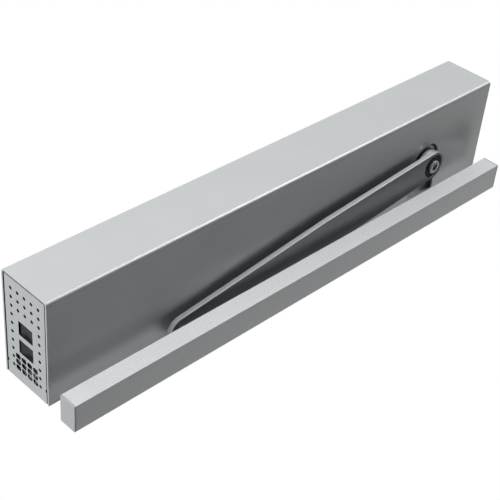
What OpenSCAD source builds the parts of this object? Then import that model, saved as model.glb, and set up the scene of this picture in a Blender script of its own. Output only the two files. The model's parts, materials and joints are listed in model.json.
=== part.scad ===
// Swing door operator with a slide rail arm, in the place it has on the wall.
// X runs along the housing, Y points into the wall and Z points up.
// The origin is the centre of the mounting plate's back face, in the wall plane.

/* [Housing] */
// Length of the cover and of the whole housing
housing_l = 685; // [620:1:760]
// Depth of the housing from the wall to its room face
housing_d = 130; // [118:1:148]
// Height of the housing
housing_h = 70; // [63:1:80]
// Wall thickness of the cover profile
cover_wall = 2.5; // [2:0.1:3]
// Outside bend radius of the cover profile
cover_bend_r = 4.5; // [3:0.1:5]
// Gap between the cover and the end plates inside it
cover_gap = 1.2; // [0.8:0.1:1.6]
// Free width on each side of the axle extension in the cover's slot
cover_slot_gap = 6.5; // [4:0.5:9]
// Gap between the gear casing and the cover's room face
casing_air = 5.5; // [2:0.5:8]

/* [Mounting plate] */
// Thickness of the mounting plate
plate_t = 5; // [4:0.5:6]
// Gap along the plate's long edges for the cover's spring clips
clip_gap = 1.5; // [1.3:0.1:2.5]
// Sheet thickness of the spring clips
clip_t = 1; // [0.8:0.1:1.2]
// Distance from the housing's ends to the wall screws
wall_hole_inset = 32.5; // [31:0.5:45]
// Distance between the wall screws across the plate
wall_hole_z = 40; // [36:1:42]
// Diameter of the wall screw holes
wall_hole_d = 6.5; // [5:0.1:7]
// Bore of the grommet at the cable entry
grommet_bore_d = 14; // [10:0.5:16]

/* [End plates] */
// Sheet thickness of the end plates
end_t = 1.5; // [1.2:0.1:2.5]
// Step from the cover's end to the end plate
end_inset = 0.4; // [0:0.1:0.8]
// Diameter of the small vent holes
vent_d = 3.8; // [2:0.1:4]
// Spacing of the small vent holes
vent_pitch = 10.8; // [9:0.1:11]
// Distance from the room edge to the first row of vent holes
vent_first = 16.4; // [14:0.1:18]
// Width of a switch window across the plate
window_w = 22; // [20:0.5:23]
// Height of a switch window along the plate
window_h = 17; // [15:0.5:18]
// Distance from the room edge to the middle of the first window
window_first = 59.3; // [58:0.1:61]
// Spacing of the two switch windows
window_pitch = 23.4; // [22:0.1:25]
// Distance from the middle of the second window to the first row of the grille
grille_step = 15.8; // [14:0.1:17]
// Width of a grille hole across the plate
grille_w = 7.4; // [5:0.1:7.6]
// Height of a grille hole along the plate
grille_h = 6.2; // [4:0.1:6.4]
// Largest tilt of a switch rocker to either side
rocker_tilt = 8; // [5:0.5:10]

/* [Drive] */
// Distance from the spindle to the housing's right end
spindle_inset = 112.5; // [106:0.5:118]
// Diameter of the spindle
spindle_d = 17; // [15:0.5:18]
// Outside diameter of the spindle bearings
bearing_d = 35; // [32:0.5:37]
// Width of the spindle bearings
bearing_w = 10; // [8:0.5:10.5]
// Wall thickness of the gear casing
case_wall = 5; // [4:0.5:6]
// Module of the output gear and of the rack
gear_m = 1.5; // [1.5:0.01:1.52]
// Teeth of the output gear on the spindle
output_teeth = 52; // [50:1:53]
// Teeth of the intermediate pinion
mid_teeth = 14; // [13:1:15]
// Teeth of the spring pinion that moves the rack
spring_teeth = 24; // [23:1:24]
// Teeth of the crown wheel
crown_teeth = 52; // [50:1:54]
// Teeth of the motor pinion
motor_teeth = 12; // [12:1:13]
// Diameter of the motor body
motor_d = 52; // [46:0.5:54]
// Length of the motor body
motor_l = 92; // [80:1:96]
// Gap between the spring tube and the mounting plate
tube_air = 3.5; // [2:0.5:5]
// Inside diameter of the spring tube
tube_bore = 30; // [27:0.5:32]
// Wall thickness of the spring tube
tube_wall = 2.5; // [2:0.1:3]
// Length of the spring tube
tube_l = 112; // [108:1:116]
// Wire diameter of the closing spring
spring_wire = 4.4; // [3.5:0.1:4.6]
// Turns of the closing spring
spring_turns = 8; // [6:0.5:8]

/* [Arm] */
// Distance from the spindle axis to the slide pin
arm_l = 412; // [380:1:440]
// Thickness of the arm
arm_t = 6; // [5:0.5:8]
// Gap between the cover's underside and the arm
arm_drop = 7; // [5:0.5:9]
// Radius of the arm's hub end
arm_hub_r = 19; // [18.6:0.1:22]
// Largest half width of the arm, between its ends
arm_mid_r = 21.5; // [19:0.5:24]
// Distance from the spindle axis to the arm's widest place
arm_mid_at = 190; // [120:1:240]
// Radius of the arm's far end
arm_end_r = 15.5; // [13:0.5:18]
// Width of the bevel around the arm's lower edge
arm_bevel = 0.8; // [0.4:0.1:1.2]
// Diameter of the axle extension between spindle and arm
extension_d = 36; // [32:0.5:37]
// Diameter of the recess round the arm bolt
recess_d = 31; // [28:0.5:33]
// Largest opening angle of the arm
arm_open = 112; // [95:1:112]

/* [Slide rail] */
// Length of the slide rail with its end caps
rail_l = 675; // [620:1:720]
// Depth of the slide rail from the door leaf
rail_d = 34; // [32:0.5:38]
// Height of the slide rail
rail_h = 22; // [20:0.5:26]
// Gap between the arm and the slide rail
rail_drop = 9; // [7:0.5:12]
// Wall thickness of the rail
rail_wall = 3; // [2.5:0.1:3.4]
// Width of the slot along the rail's upper side
rail_slot = 13; // [11.5:0.5:15]
// Distance from the rail's left end to the slide pin
rail_pin_inset = 165; // [120:1:220]
// Diameter of the slide pin
slide_pin_d = 10; // [8:0.5:10.5]
// Distance between the two rail screws
rail_hole_x = 500; // [400:1:560]
// Diameter of the rail screw holes
rail_hole_d = 5.4; // [4:0.1:5.8]

/* [Electronics] */
// Room between the housing's left end and the power supply
end_room = 40; // [36:1:50]
// Length of the power supply
supply_l = 115; // [100:1:125]
// Length of the space for the installer's cables
wiring_l = 60; // [54:1:70]
// Gap between the control unit and the spring tube
drive_gap = 18.5; // [12:0.5:25]
// Thickness of the circuit boards
board_t = 1.6; // [1.2:0.1:2]

/* [Hidden] */
$fn = 64;

// Fits: a shaft that turns or slides, and a piece that is only seated
run_gap = 0.05;
seat_gap = 0.05;
// How far a cutting shape reaches past the face it cuts
cut = 1;

// Screws, each as its shank diameter, head diameter and head height
foot_screw = [4, 7.5, 2.6];
case_screw = [6, 10, 5];
lid_screw = [5, 8.5, 4];
motor_screw = [4, 7, 4];
unit_screw = [4, 7, 2.4];
arm_screw = [8, 17, 3.5];
// How far a screw stays back from the far side of the plate
screw_short = 1;

// Housing
half_l = housing_l / 2;
inner_h = housing_h / 2 - cover_wall;
room_y = -housing_d;
room_inner = room_y + cover_wall;
underside = -housing_h / 2;
plate_half_h = inner_h - clip_gap;
plate_front = -plate_t;

// End plates and the feet that are folded from them
end_face = half_l - end_inset;
end_inner = end_face - end_t;
end_edge = inner_h - cover_gap;
flange_l = 14;
flange_t = 2;
flange_half_h = inner_h - 6.5;
flange_screw_z = 14;
flange_screw_x = end_inner - flange_l / 2;
notch_from_wall = 17;
notch_w = 4;
notch_depth = 1.4;
vent_rows = 10;
vent_full_rows = 3;
grille_first = window_first + window_pitch + grille_step;
grille_pitch_y = 7.5;
grille_pitch_z = 9.3;
grille_corner = 2.2;

// Spring clips that the cover snaps on to
clip_w = 14;
clip_foot_h = 8;
clip_leg_l = 16;
clip_lift = 0.2;

// Gear train: the small pinions have longer tips, the gears they meet have shorter ones
crown_m = 1;
small_shift = 0.35;
crown_shift = 0.3;
backlash = 0.14;
crown_backlash = 0.36;
output_r = gear_m * output_teeth / 2;
mid_r = gear_m * mid_teeth / 2;
spring_r = gear_m * spring_teeth / 2;
crown_r = crown_m * crown_teeth / 2;
motor_pinion_r = crown_m * motor_teeth / 2;
crown_face = 4.5;
crown_outer = crown_r + crown_face / 2;
crown_inner = crown_r - crown_face / 2;
pinion_side_gap = 0.25;

// Spindle and intermediate shaft
// The wall sets the tube, its rack and then the spindle; the room face sets the mid shaft
tube_r = tube_bore / 2 + tube_wall;
rack_to_tube = 12;
spindle_x = half_l - spindle_inset;
spindle_y = plate_front - tube_air - tube_r - rack_to_tube - spring_r;
spindle_r = spindle_d / 2;
spacer_r = spindle_r + 2.5;
crown_room = 4.25;
mid_y = room_inner + casing_air + case_wall + crown_room + crown_outer;
mid_offset = spindle_y - mid_y;
mid_dx = sqrt(pow(output_r + mid_r, 2) - pow(mid_offset, 2));
mid_x = spindle_x - mid_dx;
mid_to_spindle = atan2(mid_offset, mid_dx);
mid_shaft_r = 5;
mid_bearing_r = 11;
mid_bearing_w = 6;

// Gear casing round the gears
gear_room = 9;
pinion_room = 18.3;
case_right = spindle_x + output_r + gear_m * (1 - small_shift) + gear_room + case_wall;
case_left = mid_x - crown_outer - pinion_room - case_wall;
case_front = room_inner + casing_air;
boss_half = inner_h - 0.5;
case_half = boss_half - 6;
case_in = case_half - 5.5;
bearing_lip = 1;
bearing_seat_w = 5.5;
rib_half_w = 2;
rib_reach = 44;
rib_h = 3.5;
mid_boss_h = 2.5;
mid_boss_w = 3;
tube_boss_w = 2;
case_screw_x = [case_left + 24, case_right - 24];
case_screw_z = case_half / 2;
lid_boss_r = 6;
lid_inset = case_wall + 4;
lid_screw_depth = 14;
lid_points = [for (x = [case_left + lid_inset, case_right - lid_inset],
    y = [case_front + lid_inset, plate_front - lid_inset]) [x, y]];

// Levels of the gears: two gear widths fill what the gaps and the crown wheel leave
floor_gap = 2.5;
level_gap = 2;
crown_gap = 3;
crown_disc_t = 4.5;
crown_hub_h = 3;
lid_gap = 1.75;
spring_extra_w = 2;
crown_stack = 2.25 * crown_m + crown_disc_t + crown_hub_h + lid_gap;
gear_stack = 2 * case_in - floor_gap - level_gap - crown_gap - crown_stack;
output_w = (gear_stack - spring_extra_w) / 2;
spring_pinion_w = output_w + spring_extra_w;
spring_pinion_z = -case_in + floor_gap;
output_z = spring_pinion_z + spring_pinion_w + level_gap;
crown_tip_z = output_z + output_w + crown_gap;
crown_ref_z = crown_tip_z + crown_m;
crown_root_z = crown_ref_z + 1.25 * crown_m;

// Motor, along X and on the room side of the spring tube
motor_z = crown_ref_z - motor_pinion_r - crown_shift * crown_m;
motor_r = motor_d / 2;
motor_wall = 3.2;
motor_front_t = 8;
motor_front = case_left - motor_front_t;
motor_shaft_r = 3;
motor_cap_t = 8;
motor_cap_boss_t = 5;
motor_cap_plug = 4;
motor_back = case_left - motor_l;
motor_end = motor_back - motor_cap_t - motor_cap_boss_t;
motor_spigot_r = 12;
motor_spigot_l = 3;
motor_bolt_r = 18;
rotor_r = 14;
rotor_air_gap = 1;
motor_bearing_r = 9;
motor_bearing_w = 5;
motor_bearing_x = [motor_back - 1, motor_front];
motor_screw_points = [for (a = [45:90:315])
    [mid_y + motor_bolt_r * cos(a), motor_z + motor_bolt_r * sin(a)]];

// Spring tube, spring and rack plunger
rack_pitch = PI * gear_m;
rack_pitch_y = spindle_y + spring_r;
rack_travel = spring_r * arm_open * PI / 180;
rack_teeth = ceil(rack_travel / rack_pitch) + 3;
rack_right = spindle_x + (rack_teeth - 1.8) * rack_pitch;
rack_half_z = spring_pinion_w / 2 - 0.3;
rack_back_y = rack_pitch_y + 10.5;
rack_guide_half = 14;
tube_y = rack_pitch_y + rack_to_tube;
tube_z = spring_pinion_z + spring_pinion_w / 2;
tube_left = case_left - tube_l;
tube_seat = 3;
plug_t = 8;
piston_t = 8;
piston_x = case_left - 2 * piston_t;
bracket_x = tube_left + 8;
bracket_l = 12;
bracket_half_w = tube_r + 3;
bracket_front = tube_y - 4;
bracket_screw = [bracket_x + bracket_l / 2, tube_z + tube_r + 7];
bracket_top = bracket_screw[1] + 5;

// Lower end of the spindle, arm and its bolt
spindle_top = boss_half - bearing_lip;
spindle_end = underside - 1;
spindle_thread = 18;
arm_top = underside - arm_drop;
arm_bottom = arm_top - arm_t;
recess_depth = 2.2;
spigot_w = 16;
spigot_room = 0.3;
spigot_h = arm_t - recess_depth - spigot_room;
washer_t = 1.2;
bolt_seat = arm_bottom + recess_depth;
bolt_gap = 0.2;
extension_r = extension_d / 2;
extension_lift = 0.6;

// Slide rail, and the pin's place in it when the door is closed
rail_top = arm_bottom - rail_drop;
rail_bottom = rail_top - rail_h;
rail_mid_z = (rail_top + rail_bottom) / 2;
rail_corner = 0.8;
strip_t = 3;
strip_h = 12;
strip_margin = 20;
rail_back_web = 3;
channel_back = -(strip_t + rail_back_web);
channel_front = -rail_d + rail_wall;
channel_w = channel_back - channel_front;
channel_top = rail_top - rail_wall;
channel_bottom = rail_bottom + rail_wall;
pin_y = (channel_back + channel_front) / 2;
pin_tip_gap = 2;
pin_head_t = 1.8;
pin_head_w = 2.5;
arm_dy = pin_y - spindle_y;
arm_dx = sqrt(arm_l * arm_l - arm_dy * arm_dy);
pin_x = spindle_x - arm_dx;
arm_turn = 180 - atan2(arm_dy, arm_dx);
rail_left = pin_x - rail_pin_inset;
rail_right = rail_left + rail_l;
rail_mid_x = (rail_left + rail_right) / 2;
rail_cap_t = 2;
rail_plug_l = 10;
rail_plug_gap = 0.2;
block_gap = 0.3;
block_l = 36;
block_lift = 2;

// Units on the left of the drive, with the space for the installer's cables between them:
// the control unit fills the room up to the spring tube
supply_x = -half_l + end_room;
supply_right = supply_x + supply_l;
wiring_x = supply_right;
control_x = wiring_x + wiring_l;
control_right = tube_left - drive_gap;
control_l = control_right - control_x;
unit_screw_inset = 9;
entry_x = wiring_x + wiring_l / 2;
clip_x = [entry_x, case_right + 10];

// Grommet at the cable entry
grommet_wall = 2.5;
grommet_neck_r = grommet_bore_d / 2 + grommet_wall;
grommet_rim_r = grommet_neck_r + 2.5;
grommet_rim_t = 2.5;
grommet_back = 0.2;

// Switches behind the left end plate
switch_wall = 1.5;
switch_depth = 23;
switch_back = -end_inner + switch_depth;
switch_floor = 6;
switch_pocket_h = window_h - 1;
switch_pocket_w = window_w + 1;
tab_l = 6;
tab_half_w = 2;
tab_half_t = 0.4;
tab_pitch = 6;
rocker_gap = 0.4;
rocker_axis_in = 7;
rocker_recess = 1.5;
rocker_x = -end_face + rocker_axis_in;
rocker_pin_r = 1.5;
rocker_pin_reach = 1;
rocker_y = [for (i = [0, 1]) room_y + window_first + i * window_pitch];

// Power supply
tray_t = 2;
supply_half_h = inner_h - 4.5;
supply_d = 100;
supply_front = plate_front - supply_d;
supply_board_y = plate_front - 12;
board_front = supply_board_y - board_t;
supply_screw_z = supply_half_h / 2;
supply_screw_points = [for (x = [supply_x + unit_screw_inset, supply_right - unit_screw_inset],
    z = [-supply_screw_z, supply_screw_z]) [x, z]];

// Parts on the supply's board: the transformer fills the bay between its neighbours
supply_can_r = 9.5;
supply_can_x = supply_x + 26;
sink_x = supply_right - 27;
supply_bay = [supply_can_x + supply_can_r, sink_x];
supply_part_gap = 5.25;
transformer_x = (supply_bay[0] + supply_bay[1]) / 2;
bobbin_half_l = (supply_bay[1] - supply_bay[0]) / 2 - supply_part_gap;
core_half_l = 12;
core_half_h = 17;
core_leg = 7;
core_d = 34;
coil_half_l = bobbin_half_l - 2;
bobbin_t = 4;

// Mains terminals at the edge of the wiring space
terminal_x = [wiring_x + 3, wiring_x + 15];
terminal_mid = (terminal_x[0] + terminal_x[1]) / 2;
terminal_d = 22;
terminal_z = 8.5 - inner_h;
poles = 3;
pole_w = 9;
function pole_z(i) = terminal_z + 1 + pole_w * (i + 0.5);

// Control unit
box_t = 2;
control_half_h = inner_h - 3.5;
control_d = 46;
box_front = plate_front - control_d;
control_board_y = plate_front - 16;
control_front = control_board_y - board_t;
connector_h = 11;
connector_y = control_front - connector_h;
connector_z = [control_half_h - 13, control_half_h - 4];
connector_mid = (connector_z[0] + connector_z[1]) / 2;
connector_inset = 25;
control_screw_z = 12;
control_screw_points = [[control_x + unit_screw_inset, -control_screw_z],
    [control_right - unit_screw_inset, control_screw_z]];
unit_screw_points = concat(supply_screw_points, control_screw_points, [bracket_screw]);

// Leads between the units, held along their whole way
lead_r = 2.5;
motor_lead = [
    [motor_end, mid_y, motor_z],
    [motor_end - 5, mid_y, motor_z],
    [motor_end - 12, mid_y + 8, motor_z + 3],
    [motor_end - 19, mid_y + 20, motor_z + 9],
    [control_right - 8, box_front - 9, 19],
    [control_right - 21, box_front - 3, connector_mid],
    [control_right - connector_inset, connector_y - 8, connector_mid],
    [control_right - connector_inset, connector_y, connector_mid]
];
supply_lead = [
    [terminal_mid, plate_front - terminal_d + 2, pole_z(0)],
    [terminal_mid, plate_front - 32, pole_z(0)],
    [terminal_mid + 8, plate_front - 46, pole_z(0) + 2],
    [control_x - 12, box_front - 8, -12],
    [control_x + 12, box_front - 9, 6],
    [control_x + 21, box_front - 4, 18],
    [control_x + connector_inset, connector_y - 8, connector_mid],
    [control_x + connector_inset, connector_y, connector_mid]
];
switch_lead = [
    [switch_back + tab_l, rocker_y[0], 0],
    [switch_back + tab_l + 4, rocker_y[0], 0],
    [switch_back + tab_l + 9, rocker_y[0] - 12, 0],
    [supply_x + 4, supply_front - 6, 0],
    [supply_x + 30, supply_front - 8, 4],
    [supply_right - 20, supply_front - 8, 6],
    [supply_right + 20, supply_front + 8, 0],
    [control_x - 8, connector_y - 40, -8],
    [control_x + 16, connector_y - 26, -17],
    [control_x + connector_inset, connector_y - 8, -connector_mid],
    [control_x + connector_inset, connector_y, -connector_mid]
];

// Box between two corners, given as one pair of limits for each axis
module span(x, y, z) {
    translate([min(x), min(y), min(z)])
        cube([abs(x[1] - x[0]), abs(y[1] - y[0]), abs(z[1] - z[0])]);
}

// Rod along X between two places
module rod_x(x, y, z, r) {
    translate([min(x), y, z]) rotate([0, 90, 0]) cylinder(h = abs(x[1] - x[0]), r = r);
}

// Rod along Y between two places
module rod_y(x, y, z, r) {
    translate([x, max(y), z]) rotate([90, 0, 0]) cylinder(h = abs(y[1] - y[0]), r = r);
}

// Rod along Z between two places
module rod_z(x, y, z, r) {
    translate([x, y, min(z)]) cylinder(h = abs(z[1] - z[0]), r = r);
}

// Ring between two radii, standing on the XY plane
module ring(h, outer, inner) {
    difference() {
        cylinder(h = h, r = outer);
        translate([0, 0, -cut]) cylinder(h = h + 2 * cut, r = inner);
    }
}

// Rectangle with four round corners
module round_rect(w, h, r) {
    translate([-w / 2 + r, -h / 2]) square([w - 2 * r, h]);
    translate([-w / 2, -h / 2 + r]) square([w, h - 2 * r]);
    for (sx = [-1, 1], sy = [-1, 1]) {
        translate([sx * (w / 2 - r), sy * (h / 2 - r)]) circle(r = r, $fn = 32);
    }
}

// Screw with a hexagon socket: the head stands on the XY plane and the shank goes down
module socket_screw(size, l) {
    head_h = size[2];
    chamfer = head_h / 6;
    socket_share = 0.5;
    difference() {
        union() {
            cylinder(h = head_h - chamfer, d = size[1]);
            translate([0, 0, head_h - chamfer])
                cylinder(h = chamfer, d1 = size[1], d2 = size[1] - 2 * chamfer);
        }
        translate([0, 0, head_h * 0.4])
            cylinder(h = head_h, d = size[1] * socket_share, $fn = 6);
    }
    translate([0, 0, -l]) cylinder(h = l, d = size[0]);
}

// The same screw, driven into the wall from the room
module screw_y(x, y, z, size, l) {
    translate([x, y, z]) rotate([90, 0, 0]) socket_screw(size, l);
}

// Ball bearing: two races, with a ring of balls between them that both carry
module ball_bearing(outer, inner, w) {
    race = (outer - inner) * 0.28;
    ring(w, outer, outer - race);
    ring(w, inner + race, inner);
    mid = (outer + inner) / 2;
    ball_ring = (outer - inner) * 0.26;
    translate([0, 0, w * 0.2]) ring(w * 0.6, mid + ball_ring, mid - ball_ring);
}

// Involute geometry, angles in degrees
function roll_angle(r, base) = r <= base ? 0 : acos(base / r);
function involute(a) = tan(a) * 180 / PI - a;

// Half angle of a tooth at radius r, for a gear with the given base and thickness
function tooth_half(r, base, ref_half) =
    ref_half + involute(20) - involute(roll_angle(r, base));

// Outline of a spur gear, with its first tooth along +X
function gear_points(m, teeth, shift, play) =
    let (
        ref = m * teeth / 2,
        base = ref * cos(20),
        tip = ref + m * (1 + shift) - 0.05,
        root = ref - m * (1.25 - shift),
        thick = m * (PI / 2 + 2 * shift * tan(20)) - play,
        ref_half = thick / (2 * ref) * 180 / PI,
        low = max(base, root + 0.01),
        steps = 5,
        radii = [for (i = [0:steps]) low + (tip - low) * i / steps]
    )
    [for (t = [0:teeth - 1])
        let (mid = 360 * t / teeth)
        each concat(
            [let (a = mid - tooth_half(low, base, ref_half)) root * [cos(a), sin(a)]],
            [for (r = radii) let (a = mid - tooth_half(r, base, ref_half)) r * [cos(a), sin(a)]],
            [for (i = [0:steps]) let (r = radii[steps - i],
                a = mid + tooth_half(r, base, ref_half)) r * [cos(a), sin(a)]],
            [let (a = mid + tooth_half(low, base, ref_half)) root * [cos(a), sin(a)]]
        )];

// Spur gear with a plain bore
module spur_gear(m, teeth, shift, w, bore_r) {
    difference() {
        linear_extrude(height = w) polygon(gear_points(m, teeth, shift, backlash));
        translate([0, 0, -cut]) cylinder(h = w + 2 * cut, r = bore_r);
    }
}

// Straight sided tooth of a rack, about its reference line, pointing along +Y
module rack_tooth(m, play, root_extra) {
    half = PI * m / 4 - play / 2;
    slope = tan(20);
    depth = 1.25 * m + root_extra;
    polygon([
        [-half - depth * slope, -depth], [-half + m * slope, m],
        [half - m * slope, m], [half + depth * slope, -depth]
    ]);
}

// Points on an arc round a centre
function arc(centre, r, from, to, steps) =
    [for (i = [0:steps]) let (a = from + (to - from) * i / steps)
        centre + r * [cos(a), sin(a)]];

// Smooth route through hand chosen points, and the tube swept along it. The first and the
// last leg stay straight, so that the ends meet their faces squarely
function between(a, b, c, d, t) =
    0.5 * (2 * b + (c - a) * t + (2 * a - 5 * b + 4 * c - d) * t * t
        + (3 * b - a - 3 * c + d) * t * t * t);
function smooth_route(p, steps) = [
    p[0],
    for (i = [1:len(p) - 3], k = [0:steps - 1])
        between(p[i - 1], p[i], p[i + 1], p[i + 2], k / steps),
    p[len(p) - 2],
    p[len(p) - 1]
];
function unit(v) = v / norm(v);
function heading(p, i) = unit(p[min(i + 1, len(p) - 1)] - p[max(i - 1, 0)]);
module route_tube(points, r, start_side, sides = 8) {
    count = len(points);
    rings = [for (i = [0:count - 1])
        let (
            ahead = heading(points, i),
            side = unit(cross(ahead, start_side)),
            up = cross(ahead, side)
        )
        [for (k = [0:sides - 1])
            points[i] + r * (cos(360 * k / sides) * side + sin(360 * k / sides) * up)]
    ];
    polyhedron(
        points = [for (one = rings) each one],
        faces = concat(
            [[for (k = [0:sides - 1]) k]],
            [for (i = [0:count - 2], k = [0:sides - 1])
                let (a = i * sides + k, b = i * sides + (k + 1) % sides)
                each [[a, a + sides, b + sides], [a, b + sides, b]]],
            [[for (k = [sides - 1:-1:0]) (count - 1) * sides + k]]
        )
    );
}

// Cover: a long bent profile, open to the wall, with a slot for the axle extension
module cover() {
    slot_r = extension_r + cover_slot_gap;
    color([0.78, 0.79, 0.8]) difference() {
        translate([-half_l, 0, 0]) rotate([90, 0, 90]) linear_extrude(height = housing_l)
            difference() {
                union() {
                    translate([room_y + cover_bend_r, underside])
                        square([housing_d - cover_bend_r, housing_h]);
                    translate([room_y, underside + cover_bend_r])
                        square([cover_bend_r, housing_h - 2 * cover_bend_r]);
                    for (s = [-1, 1]) {
                        translate([room_y + cover_bend_r, s * (housing_h / 2 - cover_bend_r)])
                            circle(r = cover_bend_r);
                    }
                }
                translate([room_inner, -inner_h]) square([housing_d, 2 * inner_h]);
            }
        rod_z(spindle_x, spindle_y, [underside - cut, -inner_h + cut], slot_r);
        span([spindle_x - slot_r, spindle_x + slot_r], [spindle_y, cut],
            [underside - cut, -inner_h + cut]);
    }
}

// Mounting plate with wall screw holes, cable entry and threaded holes for the units
module base_plate() {
    plate_half_l = end_inner - cover_gap;
    through = [plate_front - cut, cut];
    color([0.62, 0.64, 0.66]) difference() {
        span([-plate_half_l, plate_half_l], [plate_front, 0], [-plate_half_h, plate_half_h]);
        for (s = [-1, 1], z = [-1, 1]) {
            rod_y(s * (half_l - wall_hole_inset), through, z * wall_hole_z / 2, wall_hole_d / 2);
        }
        rod_y(entry_x, through, 0, grommet_neck_r + seat_gap);
        for (x = case_screw_x, z = [-1, 1]) {
            rod_y(x, through, z * case_screw_z, case_screw[0] / 2 + seat_gap);
        }
        for (p = unit_screw_points) {
            rod_y(p[0], through, p[1], unit_screw[0] / 2 + seat_gap);
        }
        for (s = [-1, 1], z = [-1, 1]) {
            rod_y(s * flange_screw_x, through, z * flange_screw_z,
                foot_screw[0] / 2 + seat_gap);
        }
    }
}

// Rubber grommet at the cable entry, with a rim on the inner side of the plate
module cable_grommet() {
    color([0.12, 0.12, 0.13]) difference() {
        union() {
            rod_y(entry_x, [plate_front, -grommet_back], 0, grommet_neck_r);
            rod_y(entry_x, [plate_front - grommet_rim_t, plate_front], 0, grommet_rim_r);
        }
        rod_y(entry_x, [plate_front - grommet_rim_t - cut, cut], 0, grommet_bore_d / 2);
    }
}

// Four bent spring clips that the cover snaps on to
module cover_clips() {
    low = plate_half_h + clip_lift;
    color([0.7, 0.7, 0.68]) for (x = clip_x, s = [-1, 1]) {
        mirror([0, 0, s < 0 ? 1 : 0]) {
            span([x - clip_w / 2, x + clip_w / 2], [plate_front - clip_t, plate_front],
                [plate_half_h - clip_foot_h, low + clip_t]);
            span([x - clip_w / 2, x + clip_w / 2], [plate_front - clip_leg_l, plate_front],
                [low, low + clip_t]);
        }
    }
}

// Sheet end plate with a folded foot that is screwed to the mounting plate
module end_plate_sheet(side) {
    out = side * end_face;
    inn = side * end_inner;
    foot_front = plate_front - flange_t;
    notch = [-notch_from_wall - notch_w / 2, -notch_from_wall + notch_w / 2];
    difference() {
        union() {
            span([inn, out], [room_inner + cover_gap, 0], [-end_edge, end_edge]);
            span([inn - side * flange_l, inn], [foot_front, plate_front],
                [-flange_half_h, flange_half_h]);
        }
        for (z = [-1, 1]) {
            rod_y(side * flange_screw_x, [foot_front - cut, plate_front + cut],
                z * flange_screw_z, foot_screw[0] / 2 + bolt_gap);
            span([inn - side * cut, out + side * cut], notch,
                [z * (end_edge - notch_depth), z * (end_edge + cut)]);
        }
    }
}

module end_plate_blank() {
    color([0.75, 0.76, 0.77]) end_plate_sheet(1);
}

// Left end plate with vent holes, two switch windows and a grille
module end_plate_switches() {
    through = [-end_face - cut, -end_inner + cut];
    outer_col = 2;
    color([0.75, 0.76, 0.77]) difference() {
        end_plate_sheet(-1);
        for (row = [0:vent_rows - 1], col = [-outer_col:outer_col]) {
            if (row < vent_full_rows || abs(col) == outer_col) {
                rod_x(through, room_y + vent_first + row * vent_pitch, col * vent_pitch,
                    vent_d / 2);
            }
        }
        for (y = rocker_y) {
            span(through, [y - window_h / 2, y + window_h / 2],
                [-window_w / 2, window_w / 2]);
        }
        for (row = [0:2], col = [-1.5, -0.5, 0.5, 1.5]) {
            translate([through[0], room_y + grille_first + row * grille_pitch_y,
                col * grille_pitch_z])
                rotate([90, 0, 90]) linear_extrude(height = through[1] - through[0])
                    round_rect(grille_h, grille_w, grille_corner);
        }
    }
}

// Four screws that hold the end plates' feet
module end_plate_screws() {
    color([0.55, 0.55, 0.56]) for (s = [-1, 1], z = [-1, 1]) {
        screw_y(s * flange_screw_x, plate_front - flange_t, z * flange_screw_z,
            foot_screw, plate_t + flange_t - screw_short);
    }
}

// Bodies of the two switches, each with a pocket for its rocker and three tabs behind
module switch_bodies() {
    front = -end_inner;
    half_h = switch_pocket_h / 2;
    half_w = switch_pocket_w / 2;
    color([0.08, 0.08, 0.09]) for (y = rocker_y) {
        difference() {
            span([front, switch_back], [y - half_h - switch_wall, y + half_h + switch_wall],
                [-half_w - switch_wall, half_w + switch_wall]);
            span([front - cut, switch_back - switch_floor], [y - half_h, y + half_h],
                [-half_w, half_w]);
            rod_y(rocker_x, [y - half_h - switch_wall - cut, y + half_h + switch_wall + cut],
                0, rocker_pin_r + run_gap);
        }
        for (z = [-tab_pitch, 0, tab_pitch]) {
            span([switch_back, switch_back + tab_l], [y - tab_half_w, y + tab_half_w],
                [z - tab_half_t, z + tab_half_t]);
        }
    }
}

// Rocker of a switch: two slanted faces that meet over the pivot
module rocker(y, tilt) {
    half_w = window_h / 2 - 2 * rocker_gap;
    half_len = window_w / 2 - 3 * rocker_gap;
    face = -rocker_axis_in + rocker_recess;
    dip = 1.4;
    edge_t = 2.6;
    foot = [1.2, 3.5];
    pin_half = half_w + rocker_gap + rocker_pin_reach;
    translate([rocker_x, y, 0]) rotate([0, tilt, 0]) {
        rotate([90, 0, 0]) translate([0, 0, -half_w]) linear_extrude(height = 2 * half_w)
            polygon([
                [face, -half_len], [face + dip, 0], [face, half_len],
                [face + edge_t, half_len], foot, [foot[0], -foot[1]],
                [face + edge_t, -half_len]
            ]);
        rod_y(0, [-pin_half, pin_half], 0, rocker_pin_r);
    }
}

module program_rocker() {
    color([0.16, 0.17, 0.18]) rocker(rocker_y[0], 0);
}

module mains_rocker() {
    color([0.16, 0.17, 0.18]) rocker(rocker_y[1], -rocker_tilt);
}

// Boss round the spindle bearing, boss round the intermediate bearing and four ribs,
// which stand out from the casing's floor or lid
module bearing_bosses(side) {
    face = side * case_half;
    sink = side * (case_half - cut);
    rod_z(spindle_x, spindle_y, [side * boss_half, sink], bearing_d / 2 + bearing_seat_w);
    rod_z(mid_x, mid_y, [face + side * mid_boss_h, sink], mid_bearing_r + mid_boss_w);
    for (a = [45:90:315]) {
        translate([spindle_x, spindle_y, 0]) rotate([0, 0, a])
            span([bearing_d / 2, rib_reach], [-rib_half_w, rib_half_w],
                [face + side * rib_h, sink]);
    }
}

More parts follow.
